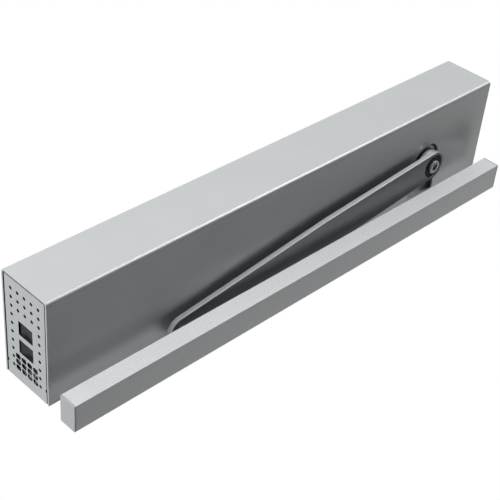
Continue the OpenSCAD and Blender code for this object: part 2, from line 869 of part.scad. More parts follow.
// Gear casing: a cast tray with bearing seats, screwed to the mounting plate
module drive_casing() {
    inner_x = [case_left + case_wall, case_right - case_wall];
    inner_y = [case_front + case_wall, plate_front - case_wall];
    left_wall = [case_left - cut, inner_x[0] + cut];
    stem_gap = 1.5;
    stem_y = [rack_pitch_y - 4, rack_back_y + stem_gap];
    color([0.66, 0.67, 0.68]) difference() {
        union() {
            difference() {
                span([case_left, case_right], [case_front, plate_front],
                    [-case_half, case_in]);
                span(inner_x, inner_y, [-case_in, case_in + cut]);
            }
            for (p = lid_points) {
                rod_z(p[0], p[1], [-case_half, case_in], lid_boss_r);
            }
            bearing_bosses(-1);
            intersection() {
                rod_x([case_left, inner_x[0]], tube_y, tube_z, tube_r + tube_boss_w);
                span([case_left, inner_x[0]], [case_front, plate_front], [-boss_half, case_in]);
            }
        }
        rod_z(spindle_x, spindle_y, [-boss_half + bearing_lip, 0], bearing_d / 2 + seat_gap);
        rod_z(spindle_x, spindle_y, [-boss_half - cut, 0], bearing_d / 2 - 4);
        rod_z(mid_x, mid_y, [-case_in - mid_bearing_w, 0], mid_bearing_r + seat_gap);
        for (p = lid_points) {
            rod_z(p[0], p[1], [case_in - lid_screw_depth, case_in + cut],
                lid_screw[0] / 2 + seat_gap);
        }
        for (x = case_screw_x, z = [-1, 1]) {
            rod_y(x, [plate_front - case_wall - cut, plate_front + cut], z * case_screw_z,
                case_screw[0] / 2 + seat_gap);
        }
        rod_x(left_wall, mid_y, motor_z, motor_spigot_r + seat_gap);
        for (p = motor_screw_points) {
            rod_x(left_wall, p[0], p[1], motor_screw[0] / 2 + seat_gap);
        }
        rod_x([case_left - cut, case_left + tube_seat], tube_y, tube_z, tube_r + seat_gap);
        span(left_wall, stem_y, [tube_z - rack_half_z - stem_gap, tube_z + rack_half_z + stem_gap]);
    }
}

// Lid of the gear casing, with the upper bearing seats
module drive_casing_lid() {
    color([0.66, 0.67, 0.68]) difference() {
        union() {
            span([case_left, case_right], [case_front, plate_front], [case_in, case_half]);
            bearing_bosses(1);
        }
        rod_z(spindle_x, spindle_y, [case_in - cut, boss_half - bearing_lip],
            bearing_d / 2 + seat_gap);
        rod_z(mid_x, mid_y, [case_in - cut, case_in + mid_bearing_w],
            mid_bearing_r + seat_gap);
        for (p = lid_points) {
            rod_z(p[0], p[1], [case_in - cut, case_half + cut],
                lid_screw[0] / 2 + bolt_gap);
        }
    }
}

// Four screws from inside the casing into the mounting plate
module drive_screws() {
    color([0.3, 0.3, 0.32]) for (x = case_screw_x, z = [-1, 1]) {
        screw_y(x, plate_front - case_wall, z * case_screw_z, case_screw,
            case_wall + plate_t - screw_short);
    }
}

// Four screws that hold the lid
module lid_screws() {
    color([0.3, 0.3, 0.32]) for (p = lid_points) {
        translate([p[0], p[1], case_half])
            socket_screw(lid_screw, case_half - case_in + lid_screw_depth - screw_short);
    }
}

// Lower and upper bearing of the spindle
module spindle_bearings() {
    color([0.8, 0.8, 0.8]) for (z = [-boss_half + bearing_lip,
        boss_half - bearing_lip - bearing_w]) {
        translate([spindle_x, spindle_y, z])
            ball_bearing(bearing_d / 2, spindle_r + run_gap, bearing_w);
    }
}

// Spindle, with a threaded hole for the arm bolt at its lower end
module spindle() {
    color([0.7, 0.71, 0.72]) difference() {
        rod_z(spindle_x, spindle_y, [spindle_end, spindle_top], spindle_r);
        rod_z(spindle_x, spindle_y, [spindle_end - cut, spindle_end + spindle_thread],
            arm_screw[0] / 2 + seat_gap);
    }
}

// Output gear on the spindle, driven by the intermediate pinion
module output_gear() {
    color([0.55, 0.56, 0.58]) translate([spindle_x, spindle_y, output_z])
        rotate([0, 0, 180 + mid_to_spindle])
            spur_gear(gear_m, output_teeth, -small_shift, output_w, spindle_r + seat_gap);
}

// Pinion on the spindle that moves the spring's rack
module spring_pinion() {
    color([0.55, 0.56, 0.58]) translate([spindle_x, spindle_y, spring_pinion_z])
        rotate([0, 0, 90])
            spur_gear(gear_m, spring_teeth, 0, spring_pinion_w, spindle_r + seat_gap);
}

// Sleeves that keep the gears at their levels between the two bearings
module spindle_spacer() {
    levels = [
        [-boss_half + bearing_lip + bearing_w, spring_pinion_z],
        [spring_pinion_z + spring_pinion_w, output_z],
        [output_z + output_w, boss_half - bearing_lip - bearing_w]
    ];
    color([0.6, 0.6, 0.62]) for (z = levels) {
        translate([spindle_x, spindle_y, z[0]])
            ring(z[1] - z[0], spacer_r, spindle_r + seat_gap);
    }
}

// Hub between the spindle's end and the arm, with a square spigot for the arm
module axle_extension() {
    color([0.8, 0.81, 0.82]) difference() {
        union() {
            rod_z(spindle_x, spindle_y, [arm_top, -boss_half - extension_lift], extension_r);
            translate([spindle_x, spindle_y, 0]) rotate([0, 0, arm_turn])
                span([-spigot_w / 2, spigot_w / 2], [-spigot_w / 2, spigot_w / 2],
                    [arm_top - spigot_h, arm_top]);
        }
        rod_z(spindle_x, spindle_y, [spindle_end, 0], spindle_r + seat_gap);
        rod_z(spindle_x, spindle_y, [arm_top - spigot_h - cut, 0],
            arm_screw[0] / 2 + seat_gap);
    }
}

// Intermediate shaft with its bearings, pinion and crown wheel
module mid_shaft() {
    half = case_in + mid_bearing_w - screw_short / 2;
    color([0.7, 0.71, 0.72]) rod_z(mid_x, mid_y, [-half, half], mid_shaft_r);
}

module mid_bearings() {
    color([0.8, 0.8, 0.8]) for (z = [-case_in - mid_bearing_w, case_in]) {
        translate([mid_x, mid_y, z])
            ball_bearing(mid_bearing_r, mid_shaft_r + run_gap, mid_bearing_w);
    }
}

module mid_pinion() {
    overlap = 0.5;
    color([0.5, 0.51, 0.53]) translate([mid_x, mid_y, output_z - overlap])
        rotate([0, 0, mid_to_spindle + 180 / mid_teeth])
            spur_gear(gear_m, mid_teeth, small_shift, output_w + 2 * overlap,
                mid_shaft_r + seat_gap);
}

module crown_wheel() {
    tooth_sink = 0.3;
    hub_r = mid_shaft_r + 4;
    color([0.72, 0.62, 0.36]) translate([mid_x, mid_y, 0]) difference() {
        union() {
            translate([0, 0, crown_root_z]) cylinder(h = crown_disc_t, r = crown_outer);
            translate([0, 0, crown_root_z])
                cylinder(h = crown_disc_t + crown_hub_h, r = hub_r);
            for (i = [0:crown_teeth - 1]) {
                rotate([0, 0, 180 + (i + 0.5) * 360 / crown_teeth])
                    translate([crown_inner, 0, crown_ref_z]) rotate([90, 0, 90])
                        linear_extrude(height = crown_face) mirror([0, 1])
                            rack_tooth(crown_m, crown_backlash, tooth_sink);
            }
        }
        translate([0, 0, crown_tip_z - cut])
            cylinder(h = boss_half, r = mid_shaft_r + seat_gap);
    }
}

// Motor: steel can with a thick front wall, magnets, end cap, rotor and pinion
module motor_can() {
    color([0.25, 0.26, 0.28]) difference() {
        union() {
            rod_x([motor_back, case_left], mid_y, motor_z, motor_r);
            rod_x([case_left - cut, case_left + motor_spigot_l], mid_y, motor_z,
                motor_spigot_r);
        }
        rod_x([motor_back - cut, motor_front], mid_y, motor_z, motor_r - motor_wall);
        rod_x([motor_front - cut, motor_front + motor_bearing_w], mid_y, motor_z,
            motor_bearing_r + seat_gap);
        rod_x([motor_front - cut, case_left + motor_spigot_l + cut], mid_y, motor_z,
            motor_shaft_r + 2);
        for (p = motor_screw_points) {
            rod_x([motor_front + screw_short, case_left + cut], p[0], p[1],
                motor_screw[0] / 2 + seat_gap);
        }
    }
}

// Four magnets inside the can
module motor_magnets() {
    place = [motor_back + 16, motor_front - 8];
    slot_half = 2.5;
    across = [-motor_r, motor_r];
    color([0.3, 0.3, 0.3]) difference() {
        translate([place[0], mid_y, motor_z]) rotate([0, 90, 0])
            ring(place[1] - place[0], motor_r - motor_wall - seat_gap,
                rotor_r + rotor_air_gap);
        translate([0, mid_y, motor_z]) {
            span([place[0] - cut, place[1] + cut], across, [-slot_half, slot_half]);
            span([place[0] - cut, place[1] + cut], [-slot_half, slot_half], across);
        }
    }
}

module motor_end_cap() {
    pocket_end = motor_back + motor_cap_plug + cut;
    color([0.1, 0.1, 0.11]) difference() {
        union() {
            rod_x([motor_back - motor_cap_t, motor_back], mid_y, motor_z, motor_r - 1);
            rod_x([motor_back - cut, motor_back + motor_cap_plug], mid_y, motor_z,
                motor_r - motor_wall - seat_gap);
            rod_x([motor_end, motor_back - motor_cap_t + cut], mid_y, motor_z,
                motor_r * 0.55);
        }
        rod_x([motor_bearing_x[0], pocket_end], mid_y, motor_z, motor_bearing_r + seat_gap);
        rod_x([motor_bearing_x[0] - 2, pocket_end], mid_y, motor_z, motor_shaft_r + 1);
    }
}

module motor_screws() {
    color([0.3, 0.3, 0.32]) for (p = motor_screw_points) {
        translate([case_left + case_wall, p[0], p[1]]) rotate([0, 90, 0])
            socket_screw(motor_screw, case_wall + motor_front_t - 2 * screw_short);
    }
}

module motor_bearings() {
    color([0.8, 0.8, 0.8]) for (x = motor_bearing_x) {
        translate([x, mid_y, motor_z]) rotate([0, 90, 0])
            ball_bearing(motor_bearing_r, motor_shaft_r + run_gap, motor_bearing_w);
    }
}

// Rotor: shaft, wound core and commutator
module motor_rotor() {
    core = [motor_back + 20, motor_front - 12];
    commutator = [motor_back + 10, motor_back + 18];
    color([0.7, 0.45, 0.25]) {
        rod_x([motor_bearing_x[0] - 1, mid_x - crown_inner + 1], mid_y, motor_z,
            motor_shaft_r);
        rod_x(core, mid_y, motor_z, rotor_r);
        rod_x(commutator, mid_y, motor_z, rotor_r / 2);
    }
}

module motor_pinion() {
    color([0.72, 0.62, 0.36])
        translate([mid_x - crown_outer - pinion_side_gap, mid_y, motor_z])
            rotate([0, 90, 0]) rotate([0, 0, 180])
                spur_gear(crown_m, motor_teeth, crown_shift,
                    crown_face + 2 * pinion_side_gap, motor_shaft_r + seat_gap);
}

// Spring tube, seated in the casing wall and held by a bracket at its other end
module spring_tube() {
    color([0.45, 0.46, 0.48]) translate([tube_left, tube_y, tube_z]) rotate([0, 90, 0])
        ring(tube_l + tube_seat, tube_r, tube_bore / 2);
}

module tube_bracket() {
    color([0.62, 0.64, 0.66]) difference() {
        span([bracket_x, bracket_x + bracket_l], [bracket_front, plate_front],
            [max(tube_z - bracket_half_w, -boss_half), bracket_top]);
        rod_x([bracket_x - cut, bracket_x + bracket_l + cut], tube_y, tube_z,
            tube_r + seat_gap);
        rod_y(bracket_screw[0], [bracket_front - cut, plate_front + cut], bracket_screw[1],
            unit_screw[0] / 2 + seat_gap);
    }
}

// Plug that closes the tube, with a hexagon socket to preload the spring
module spring_plug() {
    socket_d = 10;
    socket_depth = 4;
    color([0.7, 0.71, 0.72]) difference() {
        rod_x([tube_left, tube_left + plug_t], tube_y, tube_z, tube_bore / 2 - run_gap);
        translate([tube_left - cut, tube_y, tube_z]) rotate([0, 90, 0])
            cylinder(h = socket_depth + cut, d = socket_d, $fn = 6);
    }
}

// Closing spring, a helix that is pressed together as the arm opens
module closing_spring() {
    wire_r = spring_wire / 2;
    coil_r = tube_bore / 2 - wire_r - 1;
    end_gap = 0.1;
    start = tube_left + plug_t + wire_r + end_gap;
    finish = piston_x - wire_r - end_gap;
    steps = 14;
    count = round(spring_turns * steps);
    route = [for (i = [0:count])
        [start + (finish - start) * i / count, coil_r * cos(360 * i / steps) + tube_y,
            coil_r * sin(360 * i / steps) + tube_z]];
    color([0.35, 0.36, 0.38]) route_tube(route, wire_r, [1, 0, 0], 6);
}

// Piston and rack in one piece: the pinion pulls it into the spring
module rack_plunger() {
    root_y = rack_pitch_y + 1.25 * gear_m;
    first_tooth = -1.5;
    spring_guide_r = 6;
    color([0.5, 0.51, 0.53]) difference() {
        union() {
            rod_x([piston_x, piston_x + piston_t], tube_y, tube_z, tube_bore / 2 - run_gap);
            span([piston_x + piston_t - cut, rack_right], [root_y, rack_back_y],
                [tube_z - rack_half_z, tube_z + rack_half_z]);
            translate([spindle_x, rack_pitch_y, tube_z - rack_half_z])
                linear_extrude(height = 2 * rack_half_z)
                    for (i = [0:rack_teeth - 1]) {
                        translate([(i + first_tooth) * rack_pitch, 0]) mirror([0, 1])
                            rack_tooth(gear_m, backlash, 0.3);
                    }
        }
        rod_x([piston_x - cut, piston_x + piston_t - 3], tube_y, tube_z, spring_guide_r);
    }
}

// Pad behind the rack, against the casing wall
module rack_guide() {
    pad_gap = 0.2;
    color([0.85, 0.83, 0.76])
        span([spindle_x - rack_guide_half, spindle_x + rack_guide_half],
            [rack_back_y + pad_gap, plate_front - case_wall],
            [tube_z - rack_half_z, tube_z + rack_half_z]);
}

// Plan of the arm from the spindle along +X: it widens a little to its middle, then tapers
module arm_plan(shrink) {
    hub_r = arm_hub_r - shrink;
    wide_r = arm_mid_r - shrink;
    end_r = arm_end_r - shrink;
    lean = [
        asin((hub_r - wide_r) / arm_mid_at),
        asin((wide_r - end_r) / (arm_l - arm_mid_at))
    ];
    polygon(concat(
        arc([0, 0], hub_r, 90 - lean[0], 270 + lean[0], 36),
        arc([arm_mid_at, 0], wide_r, 270 + lean[0], 270 + lean[1], 2),
        arc([arm_l, 0], end_r, lean[1] - 90, 90 - lean[1], 32),
        arc([arm_mid_at, 0], wide_r, 90 - lean[1], 90 - lean[0], 2)
    ));
}

// Arm: a flat bar with a recess for the bolt below and a square hole for the spigot
module drive_arm() {
    square_half = spigot_w / 2 + seat_gap;
    color([0.6, 0.61, 0.62])
        translate([spindle_x, spindle_y, arm_bottom]) rotate([0, 0, arm_turn]) difference() {
            union() {
                translate([0, 0, arm_bevel])
                    linear_extrude(height = arm_t - arm_bevel) arm_plan(0);
                linear_extrude(height = arm_bevel) arm_plan(arm_bevel / 2);
            }
            translate([0, 0, -cut]) cylinder(h = recess_depth + cut, d = recess_d);
            span([-square_half, square_half], [-square_half, square_half],
                [-cut, arm_t + cut]);
            translate([arm_l, 0, -cut])
                cylinder(h = arm_t + 2 * cut, d = slide_pin_d + 2 * seat_gap);
        }
}

// Washer and bolt that hold the arm on the spindle
module arm_washer() {
    edge_gap = 0.4;
    color([0.07, 0.07, 0.08]) translate([spindle_x, spindle_y, bolt_seat - washer_t])
        ring(washer_t, recess_d / 2 - edge_gap, arm_screw[0] / 2 + bolt_gap);
}

module arm_bolt() {
    shank_l = spindle_end + spindle_thread - 2 * screw_short - bolt_seat + washer_t;
    color([0.75, 0.76, 0.78]) translate([spindle_x, spindle_y, bolt_seat - washer_t])
        mirror([0, 0, 1]) socket_screw(arm_screw, shank_l);
}

// Pin riveted into the arm's far end, on which the slide block turns
module slide_pin() {
    color([0.75, 0.76, 0.78]) {
        rod_z(pin_x, pin_y, [channel_bottom + pin_tip_gap, arm_top + pin_head_t / 2],
            slide_pin_d / 2);
        rod_z(pin_x, pin_y, [arm_top, arm_top + pin_head_t],
            slide_pin_d / 2 + pin_head_w);
    }
}

// Plastic block that runs in the rail's channel
module slide_block() {
    neck_w = rail_slot - 2 * block_gap;
    color([0.13, 0.13, 0.14]) difference() {
        union() {
            span([pin_x - block_l / 2, pin_x + block_l / 2],
                [channel_front + block_gap, channel_back - block_gap],
                [channel_bottom + block_gap, channel_top - block_gap]);
            span([pin_x - block_l / 4, pin_x + block_l / 4],
                [pin_y - neck_w / 2, pin_y + neck_w / 2],
                [channel_top - block_gap - cut, rail_top + block_lift]);
        }
        rod_z(pin_x, pin_y, [channel_bottom, rail_top + block_lift + cut],
            slide_pin_d / 2 + run_gap);
    }
}

// Slide rail: hollow profile with a slot on its upper side and a groove in its back
module slide_rail() {
    color([0.78, 0.79, 0.8]) translate([rail_left + rail_cap_t, 0, 0])
        rotate([90, 0, 90]) linear_extrude(height = rail_l - 2 * rail_cap_t) difference() {
            translate([-rail_d / 2, rail_mid_z]) round_rect(rail_d, rail_h, rail_corner);
            translate([channel_front, channel_bottom])
                square([channel_w, channel_top - channel_bottom]);
            translate([pin_y - rail_slot / 2, channel_top - cut])
                square([rail_slot, rail_wall + 2 * cut]);
            translate([-strip_t - seat_gap, rail_mid_z - strip_h / 2 - seat_gap])
                square([strip_t + cut, strip_h + 2 * seat_gap]);
        }
}

// End cap of the rail: a flat plate with a plug in the channel
module rail_cap(x_out, side) {
    plate_x = [x_out, x_out - side * rail_cap_t];
    color([0.76, 0.77, 0.78]) {
        translate([min(plate_x), 0, 0]) rotate([90, 0, 90])
            linear_extrude(height = rail_cap_t)
                translate([-rail_d / 2, rail_mid_z])
                    round_rect(rail_d, rail_h, rail_corner);
        span([plate_x[1] - side * rail_plug_l, plate_x[1] + side * rail_cap_t / 2],
            [channel_front + rail_plug_gap, channel_back - rail_plug_gap],
            [channel_bottom + rail_plug_gap, channel_top - rail_plug_gap]);
    }
}

module rail_cap_left() { rail_cap(rail_left, -1); }
module rail_cap_right() { rail_cap(rail_right, 1); }

// Flat strip that is screwed to the door leaf and carries the rail
module rail_strip() {
    color([0.5, 0.51, 0.53]) difference() {
        span([rail_left + strip_margin, rail_right - strip_margin], [-strip_t, 0],
            [rail_mid_z - strip_h / 2, rail_mid_z + strip_h / 2]);
        for (s = [-1, 1]) {
            rod_y(rail_mid_x + s * rail_hole_x / 2, [-strip_t - cut, cut], rail_mid_z,
                rail_hole_d / 2);
        }
    }
}

// Power supply: a bent tray with a board, transformer, capacitors and heat sink
module supply_tray() {
    slots = 8;
    slot_half = 1.5;
    slot_inset = 14;
    slot_pitch = (supply_l - 2 * slot_inset) / (slots - 1);
    color([0.7, 0.71, 0.72]) difference() {
        union() {
            span([supply_x, supply_right], [plate_front - tray_t, plate_front],
                [-supply_half_h, supply_half_h]);
            for (s = [-1, 1]) {
                span([supply_x, supply_right], [supply_front, plate_front],
                    [s * supply_half_h, s * (supply_half_h - tray_t)]);
            }
        }
        for (s = [-1, 1], i = [0:slots - 1]) {
            x = supply_x + slot_inset + i * slot_pitch;
            span([x - slot_half, x + slot_half], [supply_front + 12, plate_front - 40],
                [s * (supply_half_h + cut), s * (supply_half_h - tray_t - cut)]);
        }
        for (p = supply_screw_points) {
            rod_y(p[0], [plate_front - tray_t - cut, plate_front + cut], p[1],
                unit_screw[0] / 2 + bolt_gap);
        }
    }
}

module supply_board() {
    edge_gap = 2;
    half_h = supply_half_h - tray_t - edge_gap;
    post_inset = 30;
    post_r = 3;
    color([0.1, 0.35, 0.2]) {
        span([supply_x + edge_gap, supply_right - edge_gap], [board_front, supply_board_y],
            [-half_h, half_h]);
        for (x = [supply_x + post_inset, supply_right - post_inset], s = [-1, 1]) {
            rod_y(x, [board_front + board_t / 2, plate_front - tray_t],
                s * (half_h - post_r - 1), post_r);
        }
    }
}

// Transformer: a core with a window, a coil through it and a foot on the board
module transformer() {
    core_y = [board_front - bobbin_t - core_d, board_front - bobbin_t];
    window_y = [core_y[0] + core_leg, core_y[1] - core_leg];
    window_z = core_half_h - core_leg;
    coil_gap = 0.1;
    color([0.75, 0.62, 0.2]) translate([transformer_x, 0, 0]) {
        difference() {
            span([-core_half_l, core_half_l], core_y, [-core_half_h, core_half_h]);
            span([-core_half_l - cut, core_half_l + cut], window_y, [-window_z, window_z]);
        }
        span([-coil_half_l, coil_half_l], [window_y[0] + coil_gap, window_y[1] - coil_gap],
            [-window_z + coil_gap, window_z - coil_gap]);
        span([-bobbin_half_l, bobbin_half_l], [board_front - bobbin_t, board_front],
            [-core_half_h - 2, core_half_h + 2]);
    }
}

module supply_capacitors() {
    can_h = 42;
    can_z = 11;
    color([0.15, 0.2, 0.35]) for (z = [-can_z, can_z]) {
        rod_y(supply_can_x, [board_front - can_h, board_front], z, supply_can_r);
    }
}

// Finned heat sink at the board's right end
module heat_sink() {
    sink_t = 3;
    sink_h = 36;
    sink_half_w = 21;
    fin_reach = 18;
    fin_pitch = 5;
    fin_half_t = 0.75;
    color([0.2, 0.2, 0.22]) {
        span([sink_x, sink_x + sink_t], [board_front - sink_h, board_front],
            [-sink_half_w, sink_half_w]);
        for (i = [-4:4]) {
            span([sink_x + sink_t / 2, sink_x + fin_reach],
                [board_front - sink_h, board_front],
                [i * fin_pitch - fin_half_t, i * fin_pitch + fin_half_t]);
        }
    }
}

module terminal_block() {
    lead_hole_r = 2.4;
    screw_hole_r = 2.6;
    color([0.2, 0.45, 0.3]) difference() {
        span(terminal_x, [plate_front - terminal_d, plate_front],
            [terminal_z, terminal_z + poles * pole_w + 2]);
        for (i = [0:poles - 1]) {
            rod_x([terminal_x[1] - 4, terminal_x[1] + cut], plate_front - 7, pole_z(i),
                lead_hole_r);
            rod_y(terminal_mid, [plate_front - terminal_d - cut,
                plate_front - terminal_d + 2], pole_z(i), screw_hole_r);
        }
    }
}

// Control unit: an open plastic box with the board and its parts
module control_box() {
    inner_half = control_half_h - box_t;
    through_front = [box_front - cut, plate_front - 24];
    post_inset = 26;
    post_r = 3.5;
    notch_half = 12;
    color([0.14, 0.15, 0.16]) difference() {
        union() {
            difference() {
                span([control_x, control_right], [box_front, plate_front],
                    [-control_half_h, control_half_h]);
                span([control_x + box_t, control_right - box_t],
                    [box_front - cut, plate_front - box_t], [-inner_half, inner_half]);
            }
            for (x = [control_x + post_inset, control_right - post_inset], s = [-1, 1]) {
                rod_y(x, [control_board_y, plate_front - box_t + cut / 2],
                    s * (inner_half - 2 * post_r), post_r);
            }
        }
        for (s = [-1, 1]) {
            span([control_x + 20, control_right - 20], [box_front - cut, plate_front - 30],
                [s * (control_half_h + cut), s * (inner_half - cut)]);
        }
        span([control_x - cut, control_x + box_t + cut], through_front,
            [-notch_half, notch_half]);
        span([control_right - box_t - cut, control_right + cut], through_front,
            [-notch_half, notch_half]);
        for (p = control_screw_points) {
            rod_y(p[0], [plate_front - box_t - cut, plate_front + cut], p[1],
                unit_screw[0] / 2 + bolt_gap);
        }
    }
}

module control_board() {
    edge_gap = box_t + 1;
    half_h = control_half_h - edge_gap;
    color([0.1, 0.35, 0.2])
        span([control_x + edge_gap, control_right - edge_gap],
            [control_front, control_board_y], [-half_h, half_h]);
}

// Plug connectors along the board's two long edges
module board_connectors() {
    row_l = control_l - 2 * connector_inset;
    count = max(2, round(row_l / 17) + 1);
    pitch = row_l / (count - 1);
    half_l = 6;
    pin_slot = 1;
    pin_z = [connector_z[0] + 2, connector_z[0] + 4];
    color([0.2, 0.5, 0.3]) for (i = [0:count - 1], s = [-1, 1]) {
        x = control_x + connector_inset + i * pitch;
        difference() {
            span([x - half_l, x + half_l], [connector_y, control_front],
                s * connector_z);
            for (k = [-3.5, 0, 3.5]) {
                span([x + k - pin_slot, x + k + pin_slot],
                    [connector_y - cut, connector_y + 4], s * pin_z);
            }
        }
    }
}

// Larger parts in a row of bays on the control board: first capacitors, then relays,
// with the processor in the last bay
module board_parts() {
    can_r = 6;
    can_h = 20;
    relay_half_l = 8;
    relay_h = 16;
    relay_half_z = 10;
    chip_half_l = 7;
    chip_h = 3;
    row_inset = 15.5;
    row_l = control_l - 2 * row_inset;
    bays = floor(row_l / 17);
    bay_l = row_l / bays;
    color([0.15, 0.16, 0.2]) for (i = [0:bays - 1]) {
        x = control_x + row_inset + (i + 0.5) * bay_l;
        if (i == bays - 1) {
            span([x - chip_half_l, x + chip_half_l], [control_front - chip_h, control_front],
                [-chip_half_l, chip_half_l]);
        } else if (i < bays / 2) {
            rod_y(x, [control_front - can_h, control_front], 0, can_r);
        } else {
            span([x - relay_half_l, x + relay_half_l], [control_front - relay_h, control_front],
                [-relay_half_z, relay_half_z]);
        }
    }
}

// Screws of the supply tray, the control box and the tube bracket
module unit_screws() {
    color([0.55, 0.55, 0.56]) {
        for (p = supply_screw_points) {
            screw_y(p[0], plate_front - tray_t, p[1], unit_screw,
                plate_t + tray_t - screw_short);
        }
        for (p = control_screw_points) {
            screw_y(p[0], plate_front - box_t, p[1], unit_screw,
                plate_t + box_t - screw_short);
        }
        screw_y(bracket_screw[0], bracket_front, bracket_screw[1], unit_screw,
            -bracket_front - screw_short);
    }
}

module lead(points, steps) {
    color([0.1, 0.1, 0.11]) route_tube(smooth_route(points, steps), lead_r, [0.1, 0.05, 1]);
}

module motor_cable() { lead(motor_lead, 4); }
module supply_cable() { lead(supply_lead, 4); }
module switch_cable() { lead(switch_lead, 4); }

cover();
base_plate();
cable_grommet();
cover_clips();
end_plate_switches();
end_plate_blank();
end_plate_screws();
switch_bodies();
program_rocker();
mains_rocker();
drive_casing();
drive_casing_lid();
drive_screws();
lid_screws();
spindle_bearings();
spindle();
output_gear();
spring_pinion();
spindle_spacer();
axle_extension();
mid_shaft();
mid_bearings();
mid_pinion();
crown_wheel();
motor_can();
motor_magnets();
motor_end_cap();
motor_screws();
motor_bearings();
motor_rotor();
motor_pinion();
spring_tube();
tube_bracket();
spring_plug();
closing_spring();
rack_plunger();
rack_guide();
drive_arm();
arm_bolt();
arm_washer();
slide_pin();
slide_block();
slide_rail();
rail_cap_left();
rail_cap_right();
rail_strip();
supply_tray();
supply_board();
transformer();
supply_capacitors();
heat_sink();
terminal_block();
control_box();
control_board();
board_connectors();
board_parts();
unit_screws();
motor_cable();
supply_cable();
switch_cable();
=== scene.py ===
"""Swing door operator with a slide rail arm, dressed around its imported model.

The housing lies along X on the wall, Y points into the wall and Z points up. The origin is
the middle of the mounting plate's back face. Every length is in metres, apart from the
routes of the leads.
"""

from __future__ import annotations

import json
import logging
import math
from dataclasses import dataclass, field
from enum import Enum
from typing import Callable, Iterable, Sequence

import bmesh
import bpy
from mathutils import Matrix, Vector


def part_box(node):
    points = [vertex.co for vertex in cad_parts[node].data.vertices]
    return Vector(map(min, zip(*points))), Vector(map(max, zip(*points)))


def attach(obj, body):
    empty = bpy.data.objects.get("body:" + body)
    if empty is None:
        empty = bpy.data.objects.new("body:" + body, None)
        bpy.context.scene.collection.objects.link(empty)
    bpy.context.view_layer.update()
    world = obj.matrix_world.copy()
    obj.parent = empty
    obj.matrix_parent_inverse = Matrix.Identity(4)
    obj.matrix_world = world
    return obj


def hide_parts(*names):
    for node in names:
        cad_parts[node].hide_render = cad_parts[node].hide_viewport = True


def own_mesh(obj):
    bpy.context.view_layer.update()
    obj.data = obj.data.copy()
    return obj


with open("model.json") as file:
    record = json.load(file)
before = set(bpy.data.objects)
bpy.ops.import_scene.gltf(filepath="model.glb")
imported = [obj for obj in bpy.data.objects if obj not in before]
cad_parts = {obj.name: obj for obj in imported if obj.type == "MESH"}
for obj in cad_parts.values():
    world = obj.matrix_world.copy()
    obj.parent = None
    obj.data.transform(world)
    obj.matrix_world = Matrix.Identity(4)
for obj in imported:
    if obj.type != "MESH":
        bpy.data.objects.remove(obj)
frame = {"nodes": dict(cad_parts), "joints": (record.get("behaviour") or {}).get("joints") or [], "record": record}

LOG = logging.getLogger("door_operator")
MM = 0.001
MERGE = 2e-6
Color = tuple[float, float, float]
Point = tuple[float, float, float]
Edges = list[bmesh.types.BMEdge]
Faces = list[bmesh.types.BMFace]


class Grain(Enum):
    """How the fine texture of a finish runs, as the stretch of its noise along X, Y and Z."""

    EVEN = (1.0, 1.0, 1.0)
    ALONG_X = (0.03, 1.0, 1.0)
    ALONG_Z = (1.0, 1.0, 0.04)


class Pattern(Enum):
    """Where a finish shows its second colour."""

    NONE = "none"
    TRACES = "traces"
    TURNS = "turns"
    # Painted light and shade on the cut faces of a sheet or bar.
    PAINTED_SIDE_SHADING = "cut edges"


class NodeKit:
    """Short calls for building one node tree."""

    def __init__(self, tree: bpy.types.NodeTree) -> None:
        """Keeps the tree that the calls add to."""
        self.tree = tree

    def add(self, kind: str, inputs: dict | None = None, **settings: object) -> bpy.types.Node:
        """Adds a node.

        Args:
            kind: The node's type name without its ShaderNode prefix.
            inputs: Values or sockets for the node's inputs, by name or index.
            settings: Attributes set on the node itself.

        Returns:
            The new node.
        """
        node = self.tree.nodes.new("ShaderNode" + kind)
        for name, value in settings.items():
            setattr(node, name, value)
        for name, value in (inputs or {}).items():
            self.feed(node.inputs[name], value)
        return node

    def feed(self, socket: bpy.types.NodeSocket, value: object) -> None:
        """Links a socket to another one, or sets its plain value.

        Args:
            socket: The input that is fed.
            value: An output socket, or a plain value of the input's own kind.
        """
        if isinstance(value, bpy.types.NodeSocket):
            self.tree.links.new(value, socket)
        else:
            socket.default_value = value

    def math(self, operation: str, *values: object) -> bpy.types.NodeSocket:
        """Adds a Math node and returns its result."""
        node = self.add("Math", dict(enumerate(values)), operation=operation)
        return node.outputs[0]

    def reach(self, place: bpy.types.NodeSocket, way: object) -> bpy.types.NodeSocket:
        """Adds nodes that measure a vector along a direction, and returns the size."""
        dot = self.add("VectorMath", {0: place, 1: way}, operation="DOT_PRODUCT")
        return self.math("ABSOLUTE", dot.outputs["Value"])


def new_group(name: str, inputs: dict[str, tuple[str, object]], outputs: Sequence[str]) -> NodeKit:
    """Starts a shader node group with named sockets.

    Args:
        name: The group's name.
        inputs: Each input's socket kind and default value.
        outputs: Names of the outputs, which are all numbers.

    Returns:
        A kit for the group's tree, with its input and output nodes in it.
    """
    tree = bpy.data.node_groups.new(name, "ShaderNodeTree")
    for label, (kind, value) in inputs.items():
        socket = tree.interface.new_socket(name=label, in_out="INPUT", socket_type=kind)
        socket.default_value = value
    for label in outputs:
        tree.interface.new_socket(name=label, in_out="OUTPUT", socket_type="NodeSocketFloat")
    tree.nodes.new("NodeGroupInput")
    tree.nodes.new("NodeGroupOutput")
    return NodeKit(tree)


